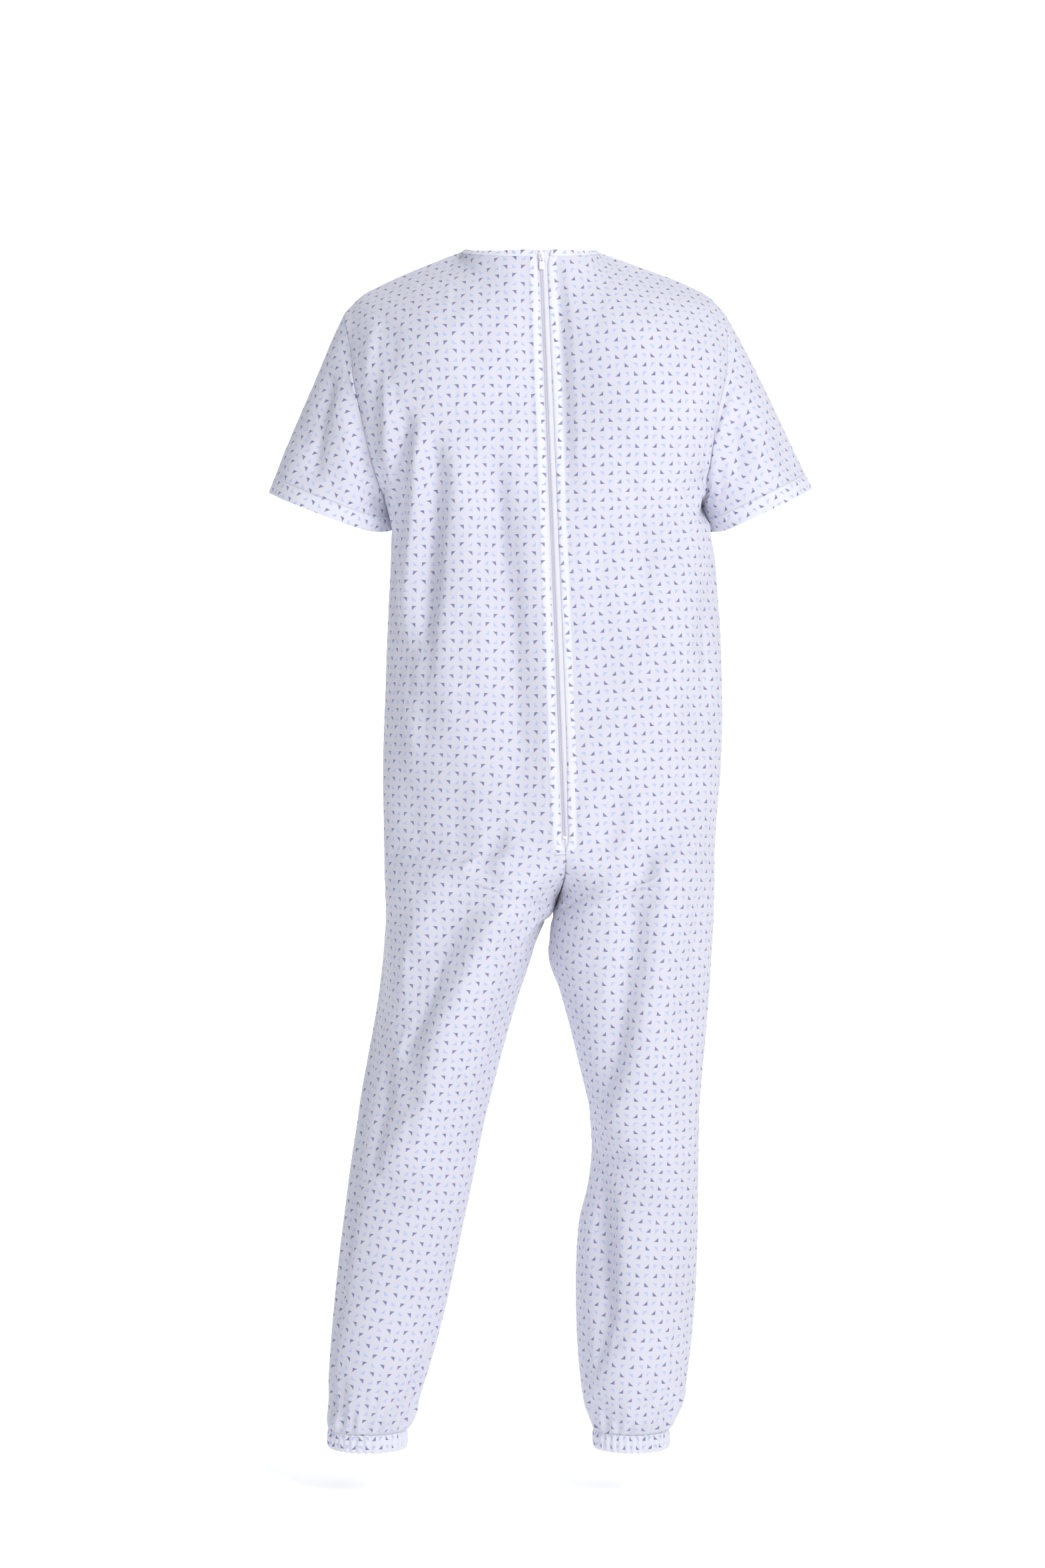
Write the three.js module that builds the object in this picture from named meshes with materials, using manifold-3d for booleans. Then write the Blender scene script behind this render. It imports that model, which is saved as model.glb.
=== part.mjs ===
// One-piece patient suit: short sleeves, long legs with gathered cuffs, and a zip down the middle
// of the back. Millimetres, +Z up. The wearer faces +Y, so the zip lies on the -Y side and the
// wearer's right hand is on the +X side. The origin is at the top end of the zip, at the height of
// the back neckline. The empty suit keeps the stance of its wearer: weight on the right leg, with
// the left leg set out to the side.

import * as THREE from 'three';
import { mergeVertices } from 'three/addons/utils/BufferGeometryUtils.js';
import Module from 'manifold-3d';

const wasm = await Module();
wasm.setup();

const { degToRad, lerp, smoothstep } = THREE.MathUtils;
const QUARTER_TURN = Math.PI / 2;

// ---------------------------------------------------------------- driving dimensions

const CLOTH = 1.6; // wall of a single layer of cloth, modelled thicker than the real 0.4
const DOUBLE_CLOTH = 2; // wall of a turned and stitched hem
const SEAM_TRIM = 0.6; // each cut edge stays this far back from its seam line
const SHOULDER_TRIM = 1.4; // more at the shoulder, where the two panels meet at an angle
const ARMHOLE_LIFT = 2.8; // sleeve edge stands off the armhole edge by this much

const NECK_DEPTH_Y = -35; // front to back place of the shoulder seam at the neck
const NECK_BACK_Y = -104.4; // back neckline, and the plane of the cloth beside the zip top
const NECK_FRONT_Y = 45;
const NECK_FRONT_Z = -76; // drop of the front neckline
const NECK_FRONT_X = -13; // the neck leans this far to the wearer's left of the zip top
const NECKBAND = 7.5; // finished width of the neck binding
const NECKBAND_LEAN = 1.5;

const ARMPIT_Z = -312;
const ZIP_END_Z = -735; // foot of the zip, where the back seam starts to turn under
const CROTCH_Z = -820;
const CUFF_TOP_Z = -1466;
const CUFF_HEIGHT = 22;

const ZIP_BAND = 22; // flat double-layer band on each side of the zip, from its middle
const SLEEVE_HEM = 20;

const PANEL_COLUMNS = 10;
const NECK_COLUMNS = 4; // columns of a panel that end on the neckline, not on the shoulder
const UPPER_ROWS = 8;
const SLEEVE_COLUMNS = 20;
const CUFF_COLUMNS = 24;

/** Smooth curve through [place, value] stations that run from the top down. */
function track(...stations) {
  const slopeAt = (i) => {
    const above = stations[Math.max(i - 1, 0)];
    const below = stations[Math.min(i + 1, stations.length - 1)];
    return (below[1] - above[1]) / (below[0] - above[0]);
  };
  return (place) => {
    let i = 0;
    while (i < stations.length - 2 && place < stations[i + 1][0]) i += 1;
    const [start, from] = stations[i];
    const [end, to] = stations[i + 1];
    const span = end - start;
    const u = THREE.MathUtils.clamp((place - start) / span, 0, 1);
    const bendIn = slopeAt(i) * span;
    const bendOut = slopeAt(i + 1) * span;
    const cubic = 2 * from - 2 * to + bendIn + bendOut;
    const square = 3 * to - 3 * from - 2 * bendIn - bendOut;
    return ((cubic * u + square) * u + bendIn) * u + from;
  };
}

// Depths of the suit, front to back, at each height.
const middleY = track([ARMPIT_Z, -18], [-480, -22], [ZIP_END_Z, -22], [-884, -28], [-1130, -12],
  [-1300, -24], [CUFF_TOP_Z, -22]);
const backDepth = track([ZIP_END_Z, 127.4], [CROTCH_Z, 114], [-884, 104], [-1000, 95], [-1130, 84],
  [-1300, 84], [-1400, 74], [-1440, 62], [CUFF_TOP_Z, 49]);
const frontDepth = track([ARMPIT_Z, 116], [-480, 114], [-640, 114], [ZIP_END_Z, 107], [-884, 92],
  [-1000, 87], [-1130, 84], [-1300, 70], [-1400, 64], [-1440, 56], [CUFF_TOP_Z, 48]);
const squareness = track([ARMPIT_Z, 2.5], [ZIP_END_Z, 2.4], [-884, 2.15], [CUFF_TOP_Z, 2]);

// The back middle is straight along the zip, then swings to the left below the seat.
const zipLineX = (z) => -z * 29 / 735;
const zipLineY = (z) => NECK_BACK_Y + z * 45 / 735;
const lowerMiddleX = track([ZIP_END_Z, 29], [-775, 29], [CROTCH_Z, 17]);
const backMiddleX = (z) => (z > ZIP_END_Z ? zipLineX(z) : lowerMiddleX(z));
const frontMiddleX = track([NECK_FRONT_Z, NECK_FRONT_X], [ARMPIT_Z, 0], [-500, 14], [ZIP_END_Z, 29],
  [-775, 29], [CROTCH_Z, 17]);

// The two halves of the suit. `out` is the direction of that half's side seam along X.
const LEFT = {
  name: 'left',
  out: -1,
  neckX: -98,
  shoulderTip: new THREE.Vector3(-237, -17, -84),
  shoulderRise: track([0, 1], [-0.45, -29], [-0.82, -52], [-1, -84]),
  armholeX: track([-84, -237], [-142, -234], [-198, -224], [-282, -204], [ARMPIT_Z, -196]),
  hemOuter: new THREE.Vector3(-337, -15, -298),
  hemInner: new THREE.Vector3(-203, -15, -352),
  zipEdge: track([0, 4.2], [-728, 4.2], [-742, SEAM_TRIM], [CROTCH_Z, 1.5]),
  sideX: track([ARMPIT_Z, -196], [-345, -189], [-455, -187], [-554, -190], [-650, -199], [-752, -197],
    [-851, -194], [-950, -203], [-1082, -232], [-1247, -256], [-1379, -270], [-1430, -271],
    [CUFF_TOP_Z, -266]),
  inseamX: track([CROTCH_Z, 15], [-845, 2], [-884, -13], [-950, -38], [-1049, -62], [-1148, -81],
    [-1247, -103], [-1346, -125], [-1412, -144], [-1445, -157], [CUFF_TOP_Z, -168]),
};
const RIGHT = {
  name: 'right',
  out: 1,
  neckX: 72,
  shoulderTip: new THREE.Vector3(226, -17, -84),
  shoulderRise: track([0, 1], [-0.45, -29], [-0.85, -58], [-1, -84]),
  armholeX: track([-84, 226], [-142, 231], [-198, 221], [-282, 207], [ARMPIT_Z, 203]),
  hemOuter: new THREE.Vector3(333, -15, -298),
  hemInner: new THREE.Vector3(220, -15, -352),
  zipEdge: track([0, 7], [-600, 7], [-700, 4.4], [-728, 4.2], [-742, SEAM_TRIM], [CROTCH_Z, 1.5]),
  sideX: track([ARMPIT_Z, 203], [-345, 208], [-455, 216], [-554, 221], [-640, 224], [-752, 221],
    [-851, 219], [-983, 213], [-1115, 205], [-1247, 200], [-1346, 193], [-1412, 184], [-1440, 172],
    [CUFF_TOP_Z, 160]),
  inseamX: track([CROTCH_Z, 19], [-845, 13], [-884, 14], [-917, 26], [-983, 44], [-1049, 59],
    [-1115, 71], [-1160, 66], [-1214, 50], [-1313, 45], [-1412, 51], [CUFF_TOP_Z, 66]),
};

// ---------------------------------------------------------------- the cloth surface

const signedPower = (value, power) => Math.sign(value) * Math.abs(value) ** power;

/** How far a row has closed round its own leg: 0 on the torso, 1 below the crotch. */
const legWrap = (z) => smoothstep(-z, -ZIP_END_Z, -CROTCH_Z);

/**
 * A point on the level outline of one half at height z. The angle is 0 at the middle of the back,
 * 90 degrees at the side seam and 180 at the middle of the front, and -90 or 270 at the inseam.
 */
function outlinePoint(half, z, angle) {
  const onBack = angle <= QUARTER_TURN;
  const startAngle = QUARTER_TURN * legWrap(z);
  const power = 2 / squareness(z);
  const middleX = onBack ? backMiddleX(z) : frontMiddleX(z);
  const edgeX = z > CROTCH_Z ? middleX : half.inseamX(z);
  const halfWidth = Math.abs(half.sideX(z) - edgeX) / (1 + Math.sin(startAngle) ** power);
  const centreX = half.sideX(z) - half.out * halfWidth;
  const centreY = middleY(z);
  let depth = frontDepth(z);
  if (onBack) depth = z > ZIP_END_Z ? centreY - zipLineY(z) : backDepth(z);
  return new THREE.Vector3(
    centreX + half.out * halfWidth * signedPower(Math.sin(angle), power),
    centreY - depth * signedPower(Math.cos(angle), power),
    z,
  );
}

/** One row of a panel below the armpit, from the middle seam or the inseam to the side seam. */
function lowerRow(half, isBack, z) {
  const wrap = legWrap(z);
  const torsoHalfWidth = Math.abs(half.sideX(z) - backMiddleX(z));
  const bandAngle = Math.asin((ZIP_BAND / torsoHalfWidth) ** (squareness(z) / 2));
  const row = [];
  for (let k = 0; k <= PANEL_COLUMNS; k += 1) {
    const evenAngle = lerp(-QUARTER_TURN * wrap, QUARTER_TURN, k / PANEL_COLUMNS);
    const bandedAngle = lerp(bandAngle, QUARTER_TURN, Math.max(k - 1, 0) / (PANEL_COLUMNS - 1));
    let angle = evenAngle;
    if (isBack && k > 0) angle = lerp(bandedAngle, evenAngle, wrap);
    row.push(outlinePoint(half, z, isBack ? angle : Math.PI - angle));
  }
  if (z > CROTCH_Z) row[0].x += half.out * (isBack ? half.zipEdge(z) : lerp(SEAM_TRIM, 1.5, wrap));
  if (isBack && z > ZIP_END_Z) row[1].y = zipLineY(z);
  return row;
}

/** Half of the armhole: 0 at the shoulder tip, 1 at the armpit. */
function armholePoint(half, isBack, along) {
  const midZ = (half.shoulderTip.z + ARMPIT_Z) / 2;
  const z = midZ + (half.shoulderTip.z - midZ) * Math.cos(Math.PI * along);
  const reach = (isBack ? -65 : 62) * Math.sin(Math.PI * along);
  return new THREE.Vector3(half.armholeX(z), half.shoulderTip.y + reach, z);
}

/** The upper edge of a panel at column k: the neckline, then the shoulder seam to its tip. */
function topEdgePoint(half, isBack, k) {
  const neck = new THREE.Vector3(half.neckX, NECK_DEPTH_Y, 1);
  if (k >= NECK_COLUMNS) {
    const u = (k - NECK_COLUMNS) / (PANEL_COLUMNS - NECK_COLUMNS);
    const point = neck.lerp(half.shoulderTip, u);
    point.z = half.shoulderRise(-u);
    return point;
  }
  if (!isBack) {
    const turn = QUARTER_TURN * k / NECK_COLUMNS;
    return new THREE.Vector3(
      lerp(NECK_FRONT_X + half.out * (k === 0 ? SEAM_TRIM : 0), half.neckX, Math.sin(turn)),
      lerp(NECK_DEPTH_Y, NECK_FRONT_Y, Math.cos(turn)),
      lerp(neck.z, NECK_FRONT_Z, Math.cos(turn) ** 2),
    );
  }
  if (k === 0) return new THREE.Vector3(half.out * half.zipEdge(0), NECK_BACK_Y, -NECKBAND);
  const turn = QUARTER_TURN * (k - 1) / (NECK_COLUMNS - 1);
  return new THREE.Vector3(
    lerp(half.out * ZIP_BAND, half.neckX, Math.sin(turn)),
    lerp(NECK_DEPTH_Y, NECK_BACK_Y, Math.cos(turn)),
    lerp(neck.z, -NECKBAND, Math.cos(turn)),
  );
}

/** The rows above the armpit fill the space between the top edge, armhole, middle and first row. */
function upperRows(half, isBack) {
  const top = [];
  for (let k = 0; k <= PANEL_COLUMNS; k += 1) top.push(topEdgePoint(half, isBack, k));
  const bottom = lowerRow(half, isBack, ARMPIT_Z);
  const bladeBulge = isBack ? -20 : 16;
  const rows = [];
  for (let j = 0; j < UPPER_ROWS; j += 1) {
    const q = j / UPPER_ROWS;
    const middle = top[0].clone().lerp(bottom[0], q);
    const side = armholePoint(half, isBack, q);
    const row = [];
    for (let k = 0; k <= PANEL_COLUMNS; k += 1) {
      const s = k / PANEL_COLUMNS;
      const point = top[k].clone().lerp(bottom[k], q);
      const straight = top[0].clone().lerp(bottom[0], q).multiplyScalar(1 - s)
        .addScaledVector(top[PANEL_COLUMNS].clone().lerp(bottom[PANEL_COLUMNS], q), s);
      point.addScaledVector(middle, 1 - s).addScaledVector(side, s).sub(straight);
      point.y += bladeBulge * Math.sin(Math.PI * s) * Math.sin(Math.PI * q) ** 0.8;
      row.push(point);
    }
    if (isBack) {
      row[0].set(zipLineX(row[0].z) + half.out * half.zipEdge(row[0].z), zipLineY(row[0].z), row[0].z);
      row[1].set(zipLineX(row[1].z) + half.out * ZIP_BAND, zipLineY(row[1].z), row[1].z);
    }
    rows.push(row);
  }
  return rows;
}

/** Heights of the rows from the armpit to the cuff, closer together where the seat turns under. */
function lowerHeights() {
  const heights = [];
  const fill = (from, to, steps) => {
    for (let i = 0; i < steps; i += 1) heights.push(lerp(from, to, i / steps));
  };
  fill(ARMPIT_Z, -700, 7);
  fill(-700, -728, 1);
  fill(-728, ZIP_END_Z - 7, 1);
  fill(ZIP_END_Z - 7, CROTCH_Z, 5);
  fill(CROTCH_Z, -884, 2);
  fill(-884, -1400, 9);
  fill(-1400, CUFF_TOP_Z, 3);
  heights.push(CUFF_TOP_Z + SEAM_TRIM);
  return heights;
}

function pullBack(edge, neighbour, distance) {
  edge.add(neighbour.clone().sub(edge).setLength(distance));
}

/** Rows of points over one whole panel, with its cut edges pulled back from the seam lines. */
function panelRows(half, isBack) {
  const heights = lowerHeights();
  const rows = [...upperRows(half, isBack), ...heights.map((z) => lowerRow(half, isBack, z))];
  rows.forEach((row, j) => {
    pullBack(row[PANEL_COLUMNS], row[PANEL_COLUMNS - 1], SEAM_TRIM);
    if (j >= UPPER_ROWS && heights[j - UPPER_ROWS] <= CROTCH_Z) pullBack(row[0], row[1], SEAM_TRIM);
  });
  for (let k = 0; k <= PANEL_COLUMNS; k += 1) {
    pullBack(rows[0][k], rows[1][k], k < NECK_COLUMNS ? SEAM_TRIM : SHOULDER_TRIM);
  }
  return rows;
}

// ---------------------------------------------------------------- solids

/**
 * A closed sheet of even thickness over rows of points. `closed` joins the last column to the
 * first. `flip` swaps the outer and inner faces, for sheets whose columns run the other way.
 */
function sheetGeometry(rows, thickness, { closed = false, flip = false } = {}) {
  const height = rows.length;
  const width = rows[0].length;
  const positions = [];
  const at = (j, k) => rows[j][closed ? (k + width) % width : THREE.MathUtils.clamp(k, 0, width - 1)];
  for (const offset of [thickness / 2, -thickness / 2]) {
    for (let j = 0; j < height; j += 1) {
      for (let k = 0; k < width; k += 1) {
        const across = at(j, k + 1).clone().sub(at(j, k - 1));
        const down = at(Math.min(j + 1, height - 1), k).clone().sub(at(Math.max(j - 1, 0), k));
        const normal = across.cross(down).setLength(flip ? -offset : offset);
        positions.push(...at(j, k).clone().add(normal).toArray());
      }
    }
  }
  const inner = height * width;
  const index = [];
  const quad = (a, b, c, d) => {
    if (flip) index.push(a, c, b, a, d, c);
    else index.push(a, b, c, a, c, d);
  };
  const columns = closed ? width : width - 1;
  for (let j = 0; j < height - 1; j += 1) {
    for (let k = 0; k < columns; k += 1) {
      const next = (k + 1) % width;
      const [a, b, c, d] = [j * width + k, j * width + next, (j + 1) * width + next, (j + 1) * width + k];
      quad(a, b, c, d);
      quad(inner + a, inner + d, inner + c, inner + b);
    }
  }
  for (let k = 0; k < columns; k += 1) {
    const next = (k + 1) % width;
    const last = (height - 1) * width;
    quad(next, k, inner + k, inner + next);
    quad(last + k, last + next, inner + last + next, inner + last + k);
  }
  if (!closed) {
    for (let j = 0; j < height - 1; j += 1) {
      const [a, b] = [j * width, (j + 1) * width];
      const [c, d] = [a + width - 1, b + width - 1];
      quad(a, b, inner + b, inner + a);
      quad(d, c, inner + c, inner + d);
    }
  }
  const geometry = new THREE.BufferGeometry();
  geometry.setAttribute('position', new THREE.Float32BufferAttribute(positions, 3));
  geometry.setIndex(index);
  return geometry;
}

/** A ring whose section, [outward, upward] points, is swept round an oval centre line. */
function ringGeometry(centre, radiusX, radiusY, section) {
  const positions = [];
  for (let i = 0; i < CUFF_COLUMNS; i += 1) {
    const angle = 2 * Math.PI * i / CUFF_COLUMNS;
    for (const [outward, upward] of section) {
      positions.push(
        centre.x + (radiusX + outward) * Math.cos(angle),
        centre.y + (radiusY + outward) * Math.sin(angle),
        centre.z + upward,
      );
    }
  }
  const count = section.length;
  const index = [];
  for (let i = 0; i < CUFF_COLUMNS; i += 1) {
    const here = i * count;
    const next = ((i + 1) % CUFF_COLUMNS) * count;
    for (let p = 0; p < count; p += 1) {
      const q = (p + 1) % count;
      index.push(here + p, next + p, next + q, here + p, next + q, here + q);
    }
  }
  const geometry = new THREE.BufferGeometry();
  geometry.setAttribute('position', new THREE.Float32BufferAttribute(positions, 3));
  geometry.setIndex(index);
  return geometry;
}

function toManifold(geometry) {
  const bare = geometry.clone();
  bare.deleteAttribute('normal');
  bare.deleteAttribute('uv');
  const merged = mergeVertices(bare, 1e-4);
  return new wasm.Manifold(new wasm.Mesh({
    numProp: 3,
    vertProperties: Float32Array.from(merged.attributes.position.array),
    triVerts: Uint32Array.from(merged.index.array),
  }));
}

function fromManifold(solid) {
  const mesh = solid.getMesh();
  const geometry = new THREE.BufferGeometry();
  geometry.setAttribute('position', new THREE.BufferAttribute(mesh.vertProperties, 3));
  geometry.setIndex(new THREE.BufferAttribute(mesh.triVerts, 1));
  return geometry;
}

function extrude(outline, depth) {
  const shape = new THREE.Shape(outline.map(([x, y]) => new THREE.Vector2(x, y)));
  return new THREE.ExtrudeGeometry(shape, { depth, bevelEnabled: false });
}

/** A block given by its lowest and highest corners. */
function block([x0, y0, z0], [x1, y1, z1]) {
  return new THREE.BoxGeometry(x1 - x0, y1 - y0, z1 - z0)
    .translate((x0 + x1) / 2, (y0 + y1) / 2, (z0 + z1) / 2);
}

// ---------------------------------------------------------------- materials

const finish = (color, roughness, metalness = 0) => ({ color, roughness, metalness });
const PRINTED_COTTON = finish(0xe9ebf5, 0.85);
const DOUBLED_COTTON = finish(0xf3f5fc, 0.82);
const WHITE_TAPE = finish(0xf0f2ff, 0.75);
const WHITE_NYLON = finish(0xe4e2f2, 0.4);
const WHITE_ELASTIC = finish(0xf4f4f2, 0.8);
const WHITE_ENAMEL = finish(0xf2f4f8, 0.3);

const suit = new THREE.Group();

function add(parent, name, geometry, look) {
  const mesh = new THREE.Mesh(geometry, new THREE.MeshStandardMaterial(look));
  mesh.name = name;
  parent.add(mesh);
  return mesh;
}

// ---------------------------------------------------------------- body panels

for (const half of [LEFT, RIGHT]) {
  const facesOut = half.out > 0;
  add(suit, `${half.name}_back_panel`,
    sheetGeometry(panelRows(half, true), CLOTH, { flip: facesOut }), PRINTED_COTTON);
  add(suit, `${half.name}_front_panel`,
    sheetGeometry(panelRows(half, false), CLOTH, { flip: !facesOut }), PRINTED_COTTON);
}

// ---------------------------------------------------------------- neck binding

/** The binding runs from one zip edge round the front of the neck to the other zip edge. */
function neckbandRows() {
  const edge = [];
  for (let k = 0; k <= NECK_COLUMNS; k += 1) edge.push(topEdgePoint(LEFT, true, k));
  for (let k = NECK_COLUMNS - 1; k > 0; k -= 1) edge.push(topEdgePoint(LEFT, false, k));
  for (let k = 0; k <= NECK_COLUMNS; k += 1) {
    if (k > 0) edge.push(topEdgePoint(RIGHT, false, k));
    else edge.push(new THREE.Vector3(NECK_FRONT_X, NECK_FRONT_Y, NECK_FRONT_Z));
  }
  for (let k = NECK_COLUMNS - 1; k >= 0; k -= 1) edge.push(topEdgePoint(RIGHT, true, k));
  const raised = (lift, lean) => edge.map((point) => {
    const inward = new THREE.Vector3(NECK_FRONT_X - point.x, NECK_DEPTH_Y - point.y, 0);
    const besideZip = Math.abs(point.x) <= ZIP_BAND && point.y < NECK_DEPTH_Y;
    inward.setLength(besideZip ? 0 : lean);
    return point.clone().add(inward).setZ(point.z + lift);
  });
  return [raised(NECKBAND, NECKBAND_LEAN * 2), raised(NECKBAND / 2, NECKBAND_LEAN), raised(SEAM_TRIM, 0)];
}
add(suit, 'neckband', sheetGeometry(neckbandRows(), DOUBLE_CLOTH), DOUBLED_COTTON);

// ---------------------------------------------------------------- sleeves and their hems

/** Armhole loop and hem loop of a sleeve, both from the shoulder line over the back and round. */
function sleeveLoops(half) {
  const centre = half.hemOuter.clone().add(half.hemInner).multiplyScalar(0.5);
  const toOuter = half.hemOuter.clone().sub(centre);
  const toBack = new THREE.Vector3(0, -62, 0);
  const armhole = [];
  const hem = [];
  for (let i = 0; i < SLEEVE_COLUMNS; i += 1) {
    const turn = 2 * Math.PI * i / SLEEVE_COLUMNS;
    const onBack = turn <= Math.PI;
    const point = armholePoint(half, onBack, onBack ? turn / Math.PI : 2 - turn / Math.PI);
    armhole.push(point.setX(point.x + half.out * ARMHOLE_LIFT));
    hem.push(centre.clone().addScaledVector(toOuter, Math.cos(turn)).addScaledVector(toBack, Math.sin(turn)));
  }
  return { armhole, hem };
}

for (const half of [LEFT, RIGHT]) {
  const { armhole, hem } = sleeveLoops(half);
  const towardsArmhole = (i, distance) => {
    const step = armhole[i].clone().sub(hem[i]).setLength(distance);
    return hem[i].clone().add(step);
  };
  const sleeveRow = (t) => armhole.map((point, i) => (
    point.clone().lerp(towardsArmhole(i, SLEEVE_HEM + SEAM_TRIM), t)
  ));
  const rows = [0, 0.25, 0.5, 0.75, 1].map(sleeveRow);
  const hemRows = [SLEEVE_HEM - SEAM_TRIM, SLEEVE_HEM / 2, 0].map((distance) => (
    hem.map((_, i) => towardsArmhole(i, distance))
  ));
  const options = { closed: true, flip: half.out > 0 };
  add(suit, `${half.name}_sleeve`, sheetGeometry(rows, CLOTH, options), PRINTED_COTTON);
  add(suit, `${half.name}_sleeve_hem`, sheetGeometry(hemRows, DOUBLE_CLOTH, options), DOUBLED_COTTON);
}

// ---------------------------------------------------------------- leg cuffs and their elastic

const CASING_WALL = 1.2;
const CASING_ROOM = 2; // half of the space between the casing's two walls
const CASING_SKIN = CASING_ROOM + CASING_WALL;
const CASING_SECTION = [ // a trough, open at the top where its stitch line lies
  [CASING_SKIN, 0], [CASING_SKIN, CUFF_HEIGHT - SEAM_TRIM], [CASING_ROOM, CUFF_HEIGHT - SEAM_TRIM],
  [CASING_ROOM, CASING_WALL], [-CASING_ROOM, CASING_WALL], [-CASING_ROOM, CUFF_HEIGHT - 2],
  [-CASING_SKIN, CUFF_HEIGHT - 2], [-CASING_SKIN, 0],
];
const ELASTIC_HALF = 1.2;
const ELASTIC_SECTION = [
  [ELASTIC_HALF, 2.5], [ELASTIC_HALF, 17.5], [-ELASTIC_HALF, 17.5], [-ELASTIC_HALF, 2.5],
];

for (const half of [LEFT, RIGHT]) {
  const centreX = (half.sideX(CUFF_TOP_Z) + half.inseamX(CUFF_TOP_Z)) / 2;
  const radiusX = Math.abs(half.sideX(CUFF_TOP_Z) - centreX) - CASING_ROOM - CASING_WALL / 2;
  const radiusY = backDepth(CUFF_TOP_Z) - CASING_ROOM - CASING_WALL / 2;
  const centre = new THREE.Vector3(centreX, middleY(CUFF_TOP_Z), CUFF_TOP_Z - CUFF_HEIGHT);
  add(suit, `${half.name}_leg_cuff`, ringGeometry(centre, radiusX, radiusY, CASING_SECTION), DOUBLED_COTTON);
  add(suit, `${half.name}_cuff_elastic`, ringGeometry(centre, radiusX, radiusY, ELASTIC_SECTION),
    WHITE_ELASTIC);
}

// ---------------------------------------------------------------- zip

// The zip group has its own frame: x across the zip, y into the suit, z up along the zip line,
// and y = 0 in the middle of the woven tapes.
const TAPE_INSET = 1.9; // tapes lie this far inside the cloth surface
const TAPE_HALF = 0.3;
const TAPE_WIDTH = 12.5;
const TAPE_LENGTH = 736;
const SLIT = 0.7; // half of the clear slit between the two chains
const COIL = { inner: SLIT, outer: 2.3, near: -0.6, far: -2, top: -3.9, bottom: -722.5 };
const FACING = { inner: 5, outer: 20, near: 0.7, far: 1.7, top: -8, bottom: -733 };

const zip = new THREE.Group();
const zipTop = new THREE.Vector3(0, NECK_BACK_Y + TAPE_INSET, 0);
const zipFoot = new THREE.Vector3(zipLineX(ZIP_END_Z), zipLineY(ZIP_END_Z) + TAPE_INSET, ZIP_END_Z);
const zipUp = zipTop.clone().sub(zipFoot).normalize();
const zipInward = zipUp.clone().cross(new THREE.Vector3(1, 0, 0)).normalize();
const zipAcross = zipInward.clone().cross(zipUp);
zip.quaternion.setFromRotationMatrix(new THREE.Matrix4().makeBasis(zipAcross, zipInward, zipUp));
zip.position.copy(zipTop);
suit.add(zip);

/** A straight strip on one side of the zip; side is -1 or 1. */
function strip(side, inner, outer, near, far, bottom, top) {
  const [x0, x1] = side < 0 ? [-outer, -inner] : [inner, outer];
  return block([x0, Math.min(near, far), bottom], [x1, Math.max(near, far), top]);
}

for (const half of [LEFT, RIGHT]) {
  const side = half.out;
  add(zip, `${half.name}_zip_tape`,
    strip(side, SLIT, TAPE_WIDTH, -TAPE_HALF, TAPE_HALF, -TAPE_LENGTH, -0.5), WHITE_TAPE);
  add(zip, `${half.name}_zip_coil`,
    strip(side, COIL.inner, COIL.outer, COIL.near, COIL.far, COIL.bottom, COIL.top), WHITE_NYLON);
  add(zip, `${half.name}_zip_facing`,
    strip(side, FACING.inner, FACING.outer, FACING.near, FACING.far, FACING.bottom, FACING.top),
    DOUBLED_COTTON);
  add(zip, `${half.name}_top_stop`, strip(side, 0.75, 2.6, -0.65, -2.3, -3.4, -1), WHITE_ENAMEL);
}
add(zip, 'bottom_stop', block([-2.5, -2.4, -727], [2.5, -0.65, -723.2]), WHITE_ENAMEL);

// Slider: two plates joined by a thin divider that runs in the slit, with turned-down edges over
// the chain, and a crown over its outer plate that holds the pull.
const SLIDER_LENGTH = 9.5;
const SLIDER_CENTRE_Z = -9;
const PLATE_OUTER_Y = -3.15;
const PLATE_INNER_Y = -2.35;
const BACK_PLATE = { near: 0.65, far: 1.4, halfWidth: 3.3 };
const EDGE = { inner: 3, outer: 3.6, tip: -0.65 };
const DIVIDER = 0.35;
const CROWN_HALF_WIDTH = 0.75;
const CROWN_OUTER = { y: -5.7, z: 3 };
const CROWN_INNER = { y: -4.85, z: 2.1 };

function sliderGeometry() {
  const rightHalf = [
    [DIVIDER, BACK_PLATE.near], [DIVIDER, PLATE_INNER_Y], [EDGE.inner, PLATE_INNER_Y],
    [EDGE.inner, EDGE.tip], [EDGE.outer, EDGE.tip], [EDGE.outer, PLATE_OUTER_Y],
  ];
  const outline = [
    [BACK_PLATE.halfWidth, BACK_PLATE.far], [BACK_PLATE.halfWidth, BACK_PLATE.near], ...rightHalf,
    ...rightHalf.map(([x, y]) => [-x, y]).reverse(),
    [-BACK_PLATE.halfWidth, BACK_PLATE.near], [-BACK_PLATE.halfWidth, BACK_PLATE.far],
  ];
  const body = extrude(outline, SLIDER_LENGTH).translate(0, 0, -SLIDER_LENGTH / 2);
  const foot = PLATE_OUTER_Y + 0.3;
  const arch = [
    [-CROWN_OUTER.z, foot], [-CROWN_OUTER.z, CROWN_OUTER.y], [CROWN_OUTER.z, CROWN_OUTER.y],
    [CROWN_OUTER.z, foot], [CROWN_INNER.z, foot], [CROWN_INNER.z, CROWN_INNER.y],
    [-CROWN_INNER.z, CROWN_INNER.y], [-CROWN_INNER.z, foot],
  ];
  const crown = extrude(arch, 2 * CROWN_HALF_WIDTH).rotateY(-QUARTER_TURN).translate(CROWN_HALF_WIDTH, 0, 0);
  return fromManifold(toManifold(body).add(toManifold(crown)));
}
add(zip, 'zip_slider', sliderGeometry(), WHITE_ENAMEL).position.z = SLIDER_CENTRE_Z;

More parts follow.
